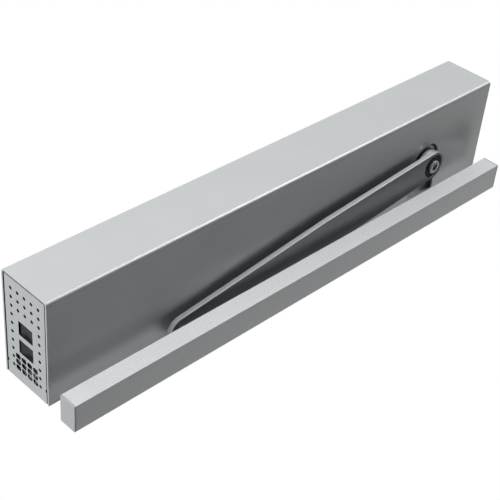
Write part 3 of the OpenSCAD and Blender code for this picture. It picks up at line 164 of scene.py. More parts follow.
class SharedEffects:
    """The shader node groups that several finishes use."""

    def __init__(self) -> None:
        """Builds each group once."""
        self.grain = self.build_grain()
        self.smudge = self.build_smudge()
        self.traces = self.build_traces()
        self.bands = self.build_bands()
        # Cut faces that carry painted shade and painted light.
        self.cut_edges = self.build_painted_side_shading()

    @staticmethod
    def build_grain() -> bpy.types.NodeTree:
        """Fine grain: two sizes of stretched noise, with bright specks where both are high.

        Returns:
            A group that puts out Shade, Speck and Height.
        """
        kit = new_group(
            "fine_grain",
            {"Scale": ("NodeSocketFloat", 900.0), "Stretch": ("NodeSocketVector", (1, 1, 1))},
            ("Shade", "Speck", "Height"),
        )
        finer_by = 2.3
        fine_height = 0.5
        speck_starts, speck_full = 0.3, 0.44
        given = kit.tree.nodes["Group Input"].outputs
        place = kit.add("TexCoord").outputs["Object"]
        run = kit.add("VectorMath", {0: place, 1: given["Stretch"]}, operation="MULTIPLY")
        coarse = kit.add("TexNoise", {"Vector": run.outputs[0], "Scale": given["Scale"],
                                      "Detail": 1.5, "Roughness": 0.6})
        finer = kit.math("MULTIPLY", given["Scale"], finer_by)
        fine = kit.add("TexNoise", {"Vector": run.outputs[0], "Scale": finer, "Detail": 1.0})
        both = kit.math("MULTIPLY", coarse.outputs["Fac"], fine.outputs["Fac"])
        speck = kit.add("MapRange", {"Value": both, "From Min": speck_starts,
                                     "From Max": speck_full})
        height = kit.math("MULTIPLY_ADD", fine.outputs["Fac"], fine_height,
                          coarse.outputs["Fac"])
        out = kit.tree.nodes["Group Output"].inputs
        kit.feed(out["Shade"], coarse.outputs["Fac"])
        kit.feed(out["Speck"], speck.outputs["Result"])
        kit.feed(out["Height"], height)
        return kit.tree

    @staticmethod
    def build_smudge() -> bpy.types.NodeTree:
        """Soft wide variation from handling and dust.

        Returns:
            A group that puts out Shade, a number from 0 to 1 about a half.
        """
        kit = new_group("soft_smudge", {"Scale": ("NodeSocketFloat", 14.0)}, ("Shade",))
        given = kit.tree.nodes["Group Input"].outputs
        place = kit.add("TexCoord").outputs["Object"]
        wide = kit.add("TexNoise", {"Vector": place, "Scale": given["Scale"], "Detail": 3.0,
                                    "Distortion": 0.6})
        kit.feed(kit.tree.nodes["Group Output"].inputs["Shade"], wide.outputs["Fac"])
        return kit.tree

    @staticmethod
    def build_traces() -> bpy.types.NodeTree:
        """Traces of a circuit board that show through its lacquer.

        Returns:
            A group that puts out Mask, which is 1 on a trace.
        """
        trace_width = 0.07
        kit = new_group("board_traces", {"Scale": ("NodeSocketFloat", 300.0)}, ("Mask",))
        given = kit.tree.nodes["Group Input"].outputs
        place = kit.add("TexCoord").outputs["Object"]
        flat = kit.add("Mapping", {"Vector": place, "Rotation": (math.radians(90), 0, 0)})
        cells = kit.add("TexVoronoi", {"Vector": flat.outputs[0], "Scale": given["Scale"],
                                       "Randomness": 0.7}, distance="CHEBYCHEV",
                        feature="DISTANCE_TO_EDGE")
        thin = kit.math("LESS_THAN", cells.outputs["Distance"], trace_width)
        kit.feed(kit.tree.nodes["Group Output"].inputs["Mask"], thin)
        return kit.tree

    @staticmethod
    def build_bands() -> bpy.types.NodeTree:
        """Even bands across one direction, for windings.

        Returns:
            A group that puts out Mask, a soft wave from 0 to 1.
        """
        kit = new_group(
            "even_bands",
            {"Scale": ("NodeSocketFloat", 300.0), "Along": ("NodeSocketVector", (1, 0, 0))},
            ("Mask",),
        )
        given = kit.tree.nodes["Group Input"].outputs
        place = kit.add("TexCoord").outputs["Object"]
        reach = kit.add("VectorMath", {0: place, 1: given["Along"]}, operation="DOT_PRODUCT")
        turn = kit.math("MULTIPLY", reach.outputs["Value"], given["Scale"])
        wave = kit.math("SINE", kit.math("MULTIPLY", turn, math.tau))
        kit.feed(kit.tree.nodes["Group Output"].inputs["Mask"],
                 kit.math("MULTIPLY_ADD", wave, 0.5, 0.5))
        return kit.tree

    @staticmethod
    def build_painted_side_shading() -> bpy.types.NodeTree:
        """Marks the cut faces of a flat sheet or bar, whose normals lie in its plane.

        Finishes use it to paint light and shade: the marked faces get painted shade on the
        end plates and painted light on the arm, and the axle hub's faces outside it are painted
        shade.

        Returns:
            A group that puts out Mask, which is 1 on a cut face that lies Beyond a distance
            from the middle of the frame, measured Across the sheet.
        """
        kit = new_group(
            "cut_edges",
            {"Across": ("NodeSocketVector", (0, 0, 1)), "Beyond": ("NodeSocketFloat", 0.0),
             "Limit": ("NodeSocketFloat", 0.75)},
            ("Mask",),
        )
        given = kit.tree.nodes["Group Input"].outputs
        source = kit.add("TexCoord").outputs
        facing = kit.reach(source["Normal"], given["Across"])
        distance = kit.reach(source["Object"], given["Across"])
        # The cut faces beyond the distance are where finishes paint light and shade.
        cut = kit.math("LESS_THAN", facing, given["Limit"])
        outer = kit.math("GREATER_THAN", distance, given["Beyond"])
        kit.feed(kit.tree.nodes["Group Output"].inputs["Mask"],
                 kit.math("MULTIPLY", cut, outer))
        return kit.tree


@dataclass(frozen=True)
class Finish:
    """One surface finish: a colour with a grain, a soft variation and maybe a pattern.

    Contrast, speck and smudge are shares of the colour's lightness. A pattern shows the
    second colour: along is the direction of the bands or the one across a sheet, and
    painted_shading_beyond is how far from the frame's middle a sheet's cut faces start to
    show it. The pattern on cut faces paints light and shade into the colour.
    """

    slot: str
    color: Color
    roughness: float
    metallic: float = 0.0
    specular: float = 0.5
    grain: Grain = Grain.EVEN
    grain_scale: float = 900.0
    contrast: float = 0.08
    speck: float = 0.0
    bump: float = 0.15
    bump_depth: float = 0.0001
    smudge: float = 0.05
    grain_roughness: float = 0.12
    smudge_roughness: float = 0.1
    coat: float = 0.0
    pattern: Pattern = Pattern.NONE
    second: Color = (0.5, 0.5, 0.5)
    pattern_scale: float = 300.0
    pattern_along: Point = (1.0, 0.0, 0.0)
    painted_shading_beyond: float = 0.0

    def build(self, effects: SharedEffects) -> bpy.types.Material:
        """Makes the finish as a material.

        Args:
            effects: The shared node groups.

        Returns:
            A material named after the finish's slot.
        """
        material = bpy.data.materials.new(self.slot)
        material.use_nodes = True
        kit = NodeKit(material.node_tree)
        shader = material.node_tree.nodes["Principled BSDF"]
        shader.inputs["Metallic"].default_value = self.metallic
        shader.inputs["Specular IOR Level"].default_value = self.specular
        shader.inputs["Coat Weight"].default_value = self.coat
        grain = kit.add("Group", node_tree=effects.grain)
        grain.inputs["Scale"].default_value = self.grain_scale
        grain.inputs["Stretch"].default_value = self.grain.value
        smudge = kit.add("Group", node_tree=effects.smudge)
        shade = kit.math("MULTIPLY_ADD", grain.outputs["Shade"], 2 * self.contrast,
                         1.0 - self.contrast - self.smudge)
        shade = kit.math("MULTIPLY_ADD", smudge.outputs["Shade"], 2 * self.smudge, shade)
        shade = kit.math("MULTIPLY_ADD", grain.outputs["Speck"], self.speck, shade)
        tint = kit.add("Mix", {"Factor": 1.0}, data_type="RGBA", blend_type="MULTIPLY")
        kit.feed(tint.inputs["A"], self.base(kit, effects))
        kit.feed(tint.inputs["B"], shade)
        kit.feed(shader.inputs["Base Color"], tint.outputs["Result"])
        rough = kit.math("MULTIPLY_ADD", grain.outputs["Shade"], self.grain_roughness,
                         self.roughness - self.grain_roughness / 2)
        rough = kit.math("MULTIPLY_ADD", smudge.outputs["Shade"], self.smudge_roughness, rough)
        kit.feed(shader.inputs["Roughness"],
                 kit.math("SUBTRACT", rough, self.smudge_roughness / 2))
        bump = kit.add("Bump", {"Height": grain.outputs["Height"], "Strength": self.bump,
                                "Distance": self.bump_depth})
        kit.feed(shader.inputs["Normal"], bump.outputs["Normal"])
        return material

    def base(self, kit: NodeKit, effects: SharedEffects) -> object:
        """The colour before grain and smudges.

        Args:
            kit: The material's node kit.
            effects: The shared node groups.

        Returns:
            The plain colour, or the socket of its mix with the pattern's second colour.
        """
        plain = (*self.color, 1.0)
        if self.pattern is Pattern.NONE:
            return plain
        trees = {Pattern.TRACES: effects.traces, Pattern.TURNS: effects.bands,
                 Pattern.PAINTED_SIDE_SHADING: effects.cut_edges}
        group = kit.add("Group", node_tree=trees[self.pattern])
        # Painted light and shade: pick the cut faces Across and Beyond.
        if self.pattern is Pattern.PAINTED_SIDE_SHADING:
            group.inputs["Across"].default_value = self.pattern_along
            group.inputs["Beyond"].default_value = self.painted_shading_beyond
        else:
            group.inputs["Scale"].default_value = self.pattern_scale
        if self.pattern is Pattern.TURNS:
            group.inputs["Along"].default_value = self.pattern_along
        mix = kit.add("Mix", data_type="RGBA")
        kit.feed(mix.inputs["A"], plain)
        kit.feed(mix.inputs["B"], (*self.second, 1.0))
        kit.feed(mix.inputs["Factor"], group.outputs["Mask"])
        return mix.outputs["Result"]


FINISHES = (
    Finish("cover_metal", (0.575, 0.597, 0.605), 0.42, metallic=0.35, grain_scale=1500.0,
           contrast=0.06, speck=0.06, bump=0.2),
    # End plate: its cut faces beyond 340.5 mm from the middle are near-black as painted shade. These are its outer
    # edges and the walls of its openings, shaded for the gap to the cover and the openings; the foot keeps the
    # plate's colour.
    Finish("end_plate_metal", (0.53, 0.556, 0.567), 0.44, metallic=0.3, grain_scale=620.0,
           contrast=0.16, speck=0.15, bump=0.35, pattern=Pattern.PAINTED_SIDE_SHADING,
           second=(0.02, 0.021, 0.022), painted_shading_beyond=0.3405),
    Finish("plate_metal", (0.5, 0.51, 0.52), 0.45, metallic=0.85, grain=Grain.ALONG_X,
           contrast=0.1, bump=0.15),
    Finish("bright_steel", (0.36, 0.37, 0.38), 0.3, metallic=0.75, grain_scale=2200.0,
           contrast=0.05, bump=0.08),
    Finish("dark_steel", (0.01, 0.0105, 0.0115), 0.5, specular=0.15, grain_scale=1400.0,
           contrast=0.1, bump=0.1),
    Finish("gear_steel", (0.36, 0.37, 0.38), 0.36, metallic=0.9, grain=Grain.ALONG_Z,
           contrast=0.08),
    # Arm: its side faces take the light second colour as painted light. Its broad faces take the dark main colour
    # as painted shade, on one metal.
    Finish("arm_metal", (0.19, 0.204, 0.216), 0.4, metallic=0.4, grain=Grain.ALONG_X,
           grain_scale=1500.0, contrast=0.12, speck=0.05, bump=0.25,
           pattern=Pattern.PAINTED_SIDE_SHADING, second=(0.5, 0.515, 0.53),
           pattern_along=(0.0, 0.0, 1.0)),
    # Axle hub: near-black as painted shade for the dark inside of the cover's slot. Only its side faces more than
    # 36 mm from the middle in Z take the bright steel colour, which is its own.
    Finish("axle_metal", (0.02, 0.021, 0.023), 0.38, metallic=0.3, grain=Grain.ALONG_Z,
           grain_scale=460.0, contrast=0.8, bump=0.5, pattern=Pattern.PAINTED_SIDE_SHADING,
           second=(0.86, 0.87, 0.88), pattern_along=(0.0, 0.0, 1.0), painted_shading_beyond=0.036),
    Finish("cast_metal", (0.47, 0.48, 0.485), 0.58, metallic=0.7, grain_scale=420.0,
           contrast=0.14, speck=0.08, bump=0.5, bump_depth=0.0003),
    Finish("gear_brass", (0.66, 0.47, 0.19), 0.35, metallic=0.95, contrast=0.08),
    Finish("rail_metal", (0.7, 0.72, 0.73), 0.42, metallic=0.1, grain_scale=620.0,
           contrast=0.13, speck=0.22, bump=0.4),
    Finish("rail_cap_metal", (0.5, 0.52, 0.535), 0.44, metallic=0.3, grain_scale=1300.0,
           contrast=0.1, speck=0.08, bump=0.25),
    Finish("black_plastic", (0.015, 0.016, 0.018), 0.5, specular=0.3, grain_scale=700.0,
           contrast=0.1, bump=0.4, bump_depth=0.0002),
    Finish("rocker_plastic", (0.012, 0.014, 0.016), 0.46, specular=0.3, grain_scale=1200.0,
           contrast=0.08, bump=0.2),
    Finish("guide_plastic", (0.66, 0.63, 0.55), 0.5, contrast=0.05),
    Finish("green_plastic", (0.05, 0.22, 0.1), 0.42, grain_scale=800.0, contrast=0.08,
           bump=0.2),
    Finish("board", (0.012, 0.085, 0.04), 0.3, contrast=0.08, bump=0.1, coat=0.3,
           pattern=Pattern.TRACES, second=(0.04, 0.17, 0.08), pattern_scale=260.0),
    Finish("part_plastic", (0.05, 0.052, 0.06), 0.4, contrast=0.08, bump=0.15),
    Finish("capacitor_sleeve", (0.03, 0.05, 0.13), 0.28, contrast=0.05, bump=0.1, coat=0.3),
    Finish("transformer_tape", (0.6, 0.42, 0.06), 0.4, contrast=0.08, coat=0.2),
    Finish("black_rubber", (0.02, 0.02, 0.021), 0.7, contrast=0.1, bump=0.3),
    Finish("cable_jacket", (0.025, 0.025, 0.028), 0.45, contrast=0.08, bump=0.2),
    Finish("copper_wound", (0.45, 0.2, 0.09), 0.4, metallic=0.6, pattern=Pattern.TURNS,
           second=(0.25, 0.09, 0.04), pattern_scale=900.0),
)


class Workshop:
    """Makes finished pieces out of bmeshes and gives every CAD node its material."""

    def __init__(self) -> None:
        """Builds the shared effects and every finish's material."""
        effects = SharedEffects()
        self.materials = {finish.slot: finish.build(effects) for finish in FINISHES}
        self.body_of = {node: body
                        for body, nodes in frame["record"]["behaviour"]["bodies"].items()
                        for node in nodes}
        self.slot_of = {part["node"]: part["material_slot"]
                        for part in frame["record"]["subparts"]}

    def dress_frame(self) -> None:
        """Gives each CAD node the material of its own slot."""
        for node, obj in frame["nodes"].items():
            obj.data.materials.clear()
            obj.data.materials.append(self.materials[self.slot_of[node]])

    def finish(self, bm: bmesh.types.BMesh, name: str, node: str,
               crease: float = 50.0) -> bpy.types.Object:
        """Turns a bmesh into a piece that stands for a CAD node.

        Args:
            bm: The shape, which is used up.
            name: The piece's name.
            node: The CAD node that the piece replaces.
            crease: Angle in degrees above which an edge stays sharp.

        Returns:
            The new object.
        """
        bmesh.ops.remove_doubles(bm, verts=bm.verts, dist=MERGE)
        open_edges = sum(1 for edge in bm.edges if len(edge.link_faces) != 2)
        mesh = bpy.data.meshes.new(name)
        bm.to_mesh(mesh)
        bm.free()
        mesh.polygons.foreach_set("use_smooth", [True] * len(mesh.polygons))
        mesh.set_sharp_from_angle(angle=math.radians(crease))
        obj = bpy.data.objects.new(name, mesh)
        bpy.context.scene.collection.objects.link(obj)
        weights = obj.modifiers.new("face weights", "WEIGHTED_NORMAL")
        weights.keep_sharp = True
        self.attach(obj, node)
        LOG.info("%s: %d faces, %d open edges", name, len(mesh.polygons), open_edges)
        return obj

    def attach(self, obj: bpy.types.Object, node: str) -> None:
        """Gives a piece the material and the body of the node that it replaces.

        Args:
            obj: The piece.
            node: The CAD node that the piece replaces.
        """
        chosen = self.slot_of[node]
        obj.data.materials.append(self.materials[chosen])
        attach(obj, self.body_of[node])
        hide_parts(node)

    def soften(self, node: str, width: float, segments: int = 2, angle: float = 40.0) -> None:
        """Replaces a CAD node by a copy whose sharp edges are rounded.

        Args:
            node: The CAD node to copy.
            width: Width of the rounding.
            segments: Faces across the rounding.
            angle: Angle in degrees above which an edge is rounded.
        """
        level = math.radians(0.3)
        bm = bmesh.new()
        bm.from_mesh(frame["nodes"][node].data)
        bmesh.ops.remove_doubles(bm, verts=bm.verts, dist=MERGE)
        bmesh.ops.dissolve_limit(bm, angle_limit=level, verts=bm.verts, edges=bm.edges,
                                 delimit=set())
        round_edges(bm, width, segments, angle)
        self.finish(bm, node + "_rounded", node)


def round_edges(bm: bmesh.types.BMesh, width: float, segments: int = 2, angle: float = 40.0,
                pick: Callable[[bmesh.types.BMEdge], bool] | None = None) -> None:
    """Rounds the edges that are sharper than an angle.

    Args:
        bm: The mesh to work on.
        width: Width of the rounding on each side of an edge.
        segments: Faces across the rounding.
        angle: Angle in degrees above which an edge is rounded.
        pick: A further test that an edge has to pass.
    """
    sharp = math.radians(angle)
    edges = [edge for edge in bm.edges
             if len(edge.link_faces) == 2 and edge.calc_face_angle(0) > sharp
             and (pick is None or pick(edge))]
    bmesh.ops.bevel(bm, geom=edges, offset=width, offset_type="OFFSET", affect="EDGES",
                    segments=segments, profile=0.5, material=-1, clamp_overlap=False)


def arc_points(centre: Sequence[float], radius: float, start: float, end: float,
               steps: int) -> list[Vector]:
    """Points on an arc in a plane.

    Args:
        centre: The arc's centre, as two numbers.
        radius: The arc's radius.
        start: First angle in degrees.
        end: Last angle in degrees.
        steps: Number of chords.

    Returns:
        The points from start to end, both included.
    """
    angles = [math.radians(start + (end - start) * i / steps) for i in range(steps + 1)]
    return [Vector((centre[0] + radius * math.cos(a), centre[1] + radius * math.sin(a)))
            for a in angles]


def ring_points(centre: Sequence[float], radius: float, steps: int) -> list[Vector]:
    """Points on a whole circle, each of them once."""
    return arc_points(centre, radius, 0, 360, steps)[:-1]


def box_points(u: Sequence[float], v: Sequence[float], radius: float = 0.0,
               steps: int = 4) -> list[Vector]:
    """Outline of a rectangle, with round corners if a radius is given.

    Args:
        u: Lowest and highest first coordinate.
        v: Lowest and highest second coordinate.
        radius: Radius of the corners.
        steps: Chords in each round corner.

    Returns:
        The outline's points, anticlockwise.
    """
    if radius <= 0:
        return [Vector((u[0], v[0])), Vector((u[1], v[0])), Vector((u[1], v[1])),
                Vector((u[0], v[1]))]
    corners = (((u[1] - radius, v[0] + radius), -90), ((u[1] - radius, v[1] - radius), 0),
               ((u[0] + radius, v[1] - radius), 90), ((u[0] + radius, v[0] + radius), 180))
    return [point for centre, start in corners
            for point in arc_points(centre, radius, start, start + 90, steps)]


def box_about(centre: Sequence[float], size: Sequence[float], radius: float,
              steps: int = 4) -> list[Vector]:
    """Outline of a rectangle, given by its centre.

    Args:
        centre: Both coordinates of the centre.
        size: Length along either coordinate.
        radius: Radius of the corners.
        steps: Chords in each round corner.

    Returns:
        The outline's points, anticlockwise.
    """
    spans = [(middle - length / 2, middle + length / 2) for middle, length in zip(centre, size)]
    return box_points(*spans, radius, steps)


def add_loop(bm: bmesh.types.BMesh, points: Iterable[Vector], place: Matrix) -> Edges:
    """Adds a closed loop of edges.

    Args:
        bm: The mesh to add to.
        points: Flat points of the loop.
        place: Takes the flat points, at height 0, to their place.

    Returns:
        The loop's edges.
    """
    verts = [bm.verts.new(place @ Vector((p[0], p[1], 0.0))) for p in points]
    return [bm.edges.new(pair) for pair in zip(verts, verts[1:] + verts[:1])]


def fill_loops(bm: bmesh.types.BMesh, loops: Iterable[Edges], normal: Vector) -> Faces:
    """Fills the area between an outline and the holes in it.

    Args:
        bm: The mesh to work on.
        loops: Lists of edges: the outline and its holes.
        normal: Direction that the faces look in.

    Returns:
        The new faces.
    """
    edges = [edge for loop in loops for edge in loop]
    made = bmesh.ops.triangle_fill(bm, use_beauty=True, use_dissolve=False, edges=edges,
                                   normal=normal)
    return [item for item in made["geom"] if isinstance(item, bmesh.types.BMFace)]


def lift_edges(bm: bmesh.types.BMesh, edges: Edges, way: Vector) -> Edges:
    """Pulls a wall up from a loop of edges.

    Args:
        bm: The mesh to work on.
        edges: The loop.
        way: How far and where to.

    Returns:
        The edges of the wall's far side.
    """
    made = bmesh.ops.extrude_edge_only(bm, edges=edges)["geom"]
    verts = [item for item in made if isinstance(item, bmesh.types.BMVert)]
    bmesh.ops.translate(bm, vec=way, verts=verts)
    moved = set(verts)
    return [item for item in made if isinstance(item, bmesh.types.BMEdge)
            and item.verts[0] in moved and item.verts[1] in moved]


def add_sheet(bm: bmesh.types.BMesh, outline: list[Vector], holes: list[list[Vector]],
              place: Matrix, thickness: float) -> None:
    """Adds a closed sheet with holes, from height 0 up to its thickness.

    Args:
        bm: The mesh to add to.
        outline: Flat outline of the sheet.
        holes: Flat outlines of the holes.
        place: Takes flat points to their place.
        thickness: Thickness along the place's third axis.
    """
    up = (place.to_3x3() @ Vector((0, 0, 1))).normalized()
    loops = [add_loop(bm, points, place) for points in [outline, *holes]]
    fill_loops(bm, loops, -up)
    tops = [lift_edges(bm, loop, up * thickness) for loop in loops]
    fill_loops(bm, tops, up)


def add_turned(bm: bmesh.types.BMesh, profile: Sequence[tuple[float, float]], place: Matrix,
               steps: int) -> None:
    """Adds a solid of revolution about the place's third axis.

    Args:
        bm: The mesh to add to.
        profile: Pairs of radius and height, from one end to the other.
        place: Takes the turned shape to its place.
        steps: Faces round the axis.
    """
    verts = [bm.verts.new(place @ Vector((r, 0.0, h))) for r, h in profile]
    edges = [bm.edges.new(pair) for pair in zip(verts, verts[1:])]
    axis = (place.to_3x3() @ Vector((0, 0, 1))).normalized()
    bmesh.ops.spin(bm, geom=verts + edges, cent=place.translation, axis=axis,
                   angle=math.tau, steps=steps, use_merge=True, use_duplicate=False)


def close_up(bm: bmesh.types.BMesh) -> None:
    """Merges what touches and turns all faces outwards."""
    bmesh.ops.remove_doubles(bm, verts=bm.verts, dist=MERGE)
    bmesh.ops.recalc_face_normals(bm, faces=bm.faces)


def side_place(x: float, way: int) -> Matrix:
    """Place on a face across X: flat points are (y, z), and height runs along X.

    Args:
        x: Where height 0 lies.
        way: 1 if height runs along +X, -1 if along -X.

    Returns:
        The matrix of the place.
    """
    return Matrix(((0, 0, way, x), (1, 0, 0, 0), (0, 1, 0, 0), (0, 0, 0, 1)))


def flat_place(z: float, way: int) -> Matrix:
    """Place on a face across Z: flat points are (x, y), and height runs along Z by way."""
    return Matrix(((1, 0, 0, 0), (0, 1, 0, 0), (0, 0, way, z), (0, 0, 0, 1)))


@dataclass
class Spindle:
    """Where the arm's axis lies and which way the arm points."""

    x: float
    y: float

    @classmethod
    def from_frame(cls) -> Spindle:
        """Reads the axis from the arm's joint."""
        swing = next(joint for joint in frame["joints"] if joint["name"] == "arm_swing")
        return cls(swing["pos_m"][0], swing["pos_m"][1])


@dataclass
class Housing:
    """The cover, both end plates and the rockers: what is seen from the room."""

    shop: Workshop
    spindle: Spindle
    wall: float = 2.2 * MM
    plate_t: float = 1.5 * MM
    bend_r: float = 4.5 * MM
    bend_steps: int = 10
    bend_crease: float = 30.0
    slot_gap: float = 6.5 * MM
    slot_steps: int = 32
    plate_round: float = 0.35 * MM
    sharp_angle: float = 50.0
    vent_d: float = 3.8 * MM
    vent_pitch: float = 10.8 * MM
    vent_first: float = 16.4 * MM
    vent_rows: int = 10
    vent_cols: int = 5
    vent_full_rows: int = 3
    vent_steps: int = 20
    window: tuple[float, float] = (17.0 * MM, 22.0 * MM)
    window_corner: float = 0.5 * MM
    window_steps: int = 3
    grille_first: float = 98.5 * MM
    grille_hole: tuple[float, float] = (6.2 * MM, 7.4 * MM)
    grille_pitch: tuple[float, float] = (7.5 * MM, 9.3 * MM)
    grille_rows: int = 3
    grille_cols: int = 4
    grille_corner: float = 2.2 * MM
    notch_from_wall: float = 17.0 * MM
    notch_w: float = 4.0 * MM
    notch_depth: float = 1.4 * MM
    foot_half_h: float = 26.0 * MM
    foot_screw_z: float = 14.0 * MM
    foot_hole_r: float = 2.2 * MM
    foot_hole_steps: int = 24
    foot_t: float = 2.0 * MM
    screw_head_d: float = 7.5 * MM
    rocker_round: float = 0.45 * MM
    rocker_angle: float = 25.0

    def build(self) -> None:
        """Builds the cover, the end plates and the rockers."""
        self.cover()
        self.end_plate("end_plate_switches", -1, self.openings())
        self.end_plate("end_plate_blank", 1, [])
        for node in ("program_rocker", "mains_rocker"):
            self.shop.soften(node, self.rocker_round, segments=3, angle=self.rocker_angle)

    def cover(self) -> None:
        """Folds the cover out of one sheet: underside with its slot, room face and top."""
        low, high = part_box("cover")
        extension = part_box("axle_extension")
        slot_r = (extension[1].x - extension[0].x) / 2 + self.slot_gap
        bend_y = low.y + self.bend_r
        left, right = self.spindle.x - slot_r, self.spindle.x + slot_r
        notch = arc_points((self.spindle.x, self.spindle.y), slot_r, 180, 360, self.slot_steps)
        outline = [Vector((low.x, high.y)), Vector((low.x, bend_y)), Vector((high.x, bend_y)),
                   Vector((high.x, high.y)), Vector((right, high.y)), *reversed(notch),
                   Vector((left, high.y))]
        bm = bmesh.new()
        edges = add_loop(bm, outline, flat_place(low.z, 1))
        bmesh.ops.contextual_create(bm, geom=edges)
        fold = self.long_edge(bm, bend_y, low.z)
        last = self.fold_over(bm, fold, (0, bend_y, low.z + self.bend_r))
        last = lift_edges(bm, last, Vector((0, 0, high.z - low.z - 2 * self.bend_r)))
        last = self.fold_over(bm, last, (0, bend_y, high.z - self.bend_r))
        lift_edges(bm, last, Vector((0, high.y - bend_y, 0)))
        bmesh.ops.remove_doubles(bm, verts=bm.verts, dist=MERGE)
        bm.normal_update()
        underside = min(bm.faces, key=lambda face: face.calc_center_median().z)
        if underside.normal.z > 0:
            bmesh.ops.reverse_faces(bm, faces=bm.faces)
        obj = self.shop.finish(bm, "cover_shell", "cover", crease=self.bend_crease)
        self.thicken(obj)

    def thicken(self, obj: bpy.types.Object) -> None:
        """Gives the folded sheet its wall and rounds the wall's edges.

        Args:
            obj: The cover, whose normals' weights end up behind both.
        """
        sheet = obj.modifiers.new("wall", "SOLIDIFY")
        sheet.thickness = self.wall
        sheet.offset = -1.0
        sheet.use_even_offset = True
        edge = obj.modifiers.new("edge", "BEVEL")
        edge.width = self.plate_round
        edge.segments = 2
        edge.limit_method = "ANGLE"
        edge.angle_limit = math.radians(self.sharp_angle)
        obj.modifiers.move(0, 2)

    @staticmethod
    def long_edge(bm: bmesh.types.BMesh, y: float, z: float) -> Edges:
        """Finds the edge along X at a place across the profile."""
        return [edge for edge in bm.edges
                if all(abs(v.co.y - y) < MERGE and abs(v.co.z - z) < MERGE
                       for v in edge.verts)]

    def fold_over(self, bm: bmesh.types.BMesh, edges: Edges, centre: Point) -> Edges:
        """Folds the sheet by a right angle round a centre line along X.

        Args:
            bm: The cover's mesh.
            edges: The sheet's free edge.
            centre: A point on the bend's centre line.

        Returns:
            The free edge after the fold.
        """
        geom = edges + [vert for edge in edges for vert in edge.verts]
        made = bmesh.ops.spin(bm, geom=geom, cent=centre, axis=(-1, 0, 0),
                              angle=math.pi / 2, steps=self.bend_steps, use_merge=False,
                              use_duplicate=False)
        return [item for item in made["geom_last"] if isinstance(item, bmesh.types.BMEdge)]

    def openings(self) -> list[list[Vector]]:
        """Draws the switch plate's vents, windows and grille.

        Returns:
            An outline for each opening, as (y, z) points.
        """
        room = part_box("cover")[0].y
        outer = self.vent_cols // 2
        holes = []
        for row in range(self.vent_rows):
            for col in range(-outer, outer + 1):
                if row < self.vent_full_rows or abs(col) == outer:
                    centre = (room + self.vent_first + row * self.vent_pitch,
                              col * self.vent_pitch)
                    holes.append(ring_points(centre, self.vent_d / 2, self.vent_steps))
        for node in ("program_rocker", "mains_rocker"):
            low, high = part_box(node)
            holes.append(box_about(((low.y + high.y) / 2, 0.0), self.window,
                                   self.window_corner, self.window_steps))
        middle = (self.grille_cols - 1) / 2
        for row in range(self.grille_rows):
            for col in range(self.grille_cols):
                centre = (room + self.grille_first + row * self.grille_pitch[0],
                          (col - middle) * self.grille_pitch[1])
                holes.append(box_about(centre, self.grille_hole, self.grille_corner))
        return holes

    def end_plate(self, node: str, side: int, holes: list[list[Vector]]) -> None:
        """Builds an end plate with a notch in each long edge and its folded foot.

        Args:
            node: The CAD node that it replaces.
            side: -1 for the left end, 1 for the right end.
            holes: Outlines of its openings, as (y, z) points.
        """
        low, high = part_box(node)
        outer = low.x if side < 0 else high.x
        top, room = high.z, low.y
        far = high.z - self.notch_depth
        notch = (-self.notch_from_wall - self.notch_w / 2,
                 -self.notch_from_wall + self.notch_w / 2)
        outline = [Vector(p) for p in (
            (room, -top), (notch[0], -top), (notch[0], -far), (notch[1], -far),
            (notch[1], -top), (high.y, -top), (high.y, top), (notch[1], top),
            (notch[1], far), (notch[0], far), (notch[0], top), (room, top))]
        bm = bmesh.new()
        add_sheet(bm, outline, holes, side_place(outer, -side), self.plate_t)
        self.foot(bm, outer - side * self.plate_t, side, high.x - low.x - self.plate_t)
        close_up(bm)
        round_edges(bm, self.plate_round)
        self.shop.finish(bm, node + "_sheet", node)

    def foot(self, bm: bmesh.types.BMesh, inner: float, side: int, reach: float) -> None:
        """Adds the foot that is screwed to the mounting plate.

        Args:
            bm: The end plate's mesh.
            inner: X of the plate's inner face.
            side: -1 for the left end, 1 for the right end.
            reach: Length of the foot.
        """
        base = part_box("base_plate")[0].y
        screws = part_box("end_plate_screws")
        last = screws[1].x if side > 0 else screws[0].x
        screw_x = last - side * self.screw_head_d / 2
        ends = sorted((inner, inner - side * reach))
        holes = [ring_points((screw_x, z), self.foot_hole_r, self.foot_hole_steps)
                 for z in (-self.foot_screw_z, self.foot_screw_z)]
        place = Matrix(((1, 0, 0, 0), (0, 0, -1, base), (0, 1, 0, 0), (0, 0, 0, 1)))
        outline = box_points(ends, (-self.foot_half_h, self.foot_half_h))
        add_sheet(bm, outline, holes, place, self.foot_t)


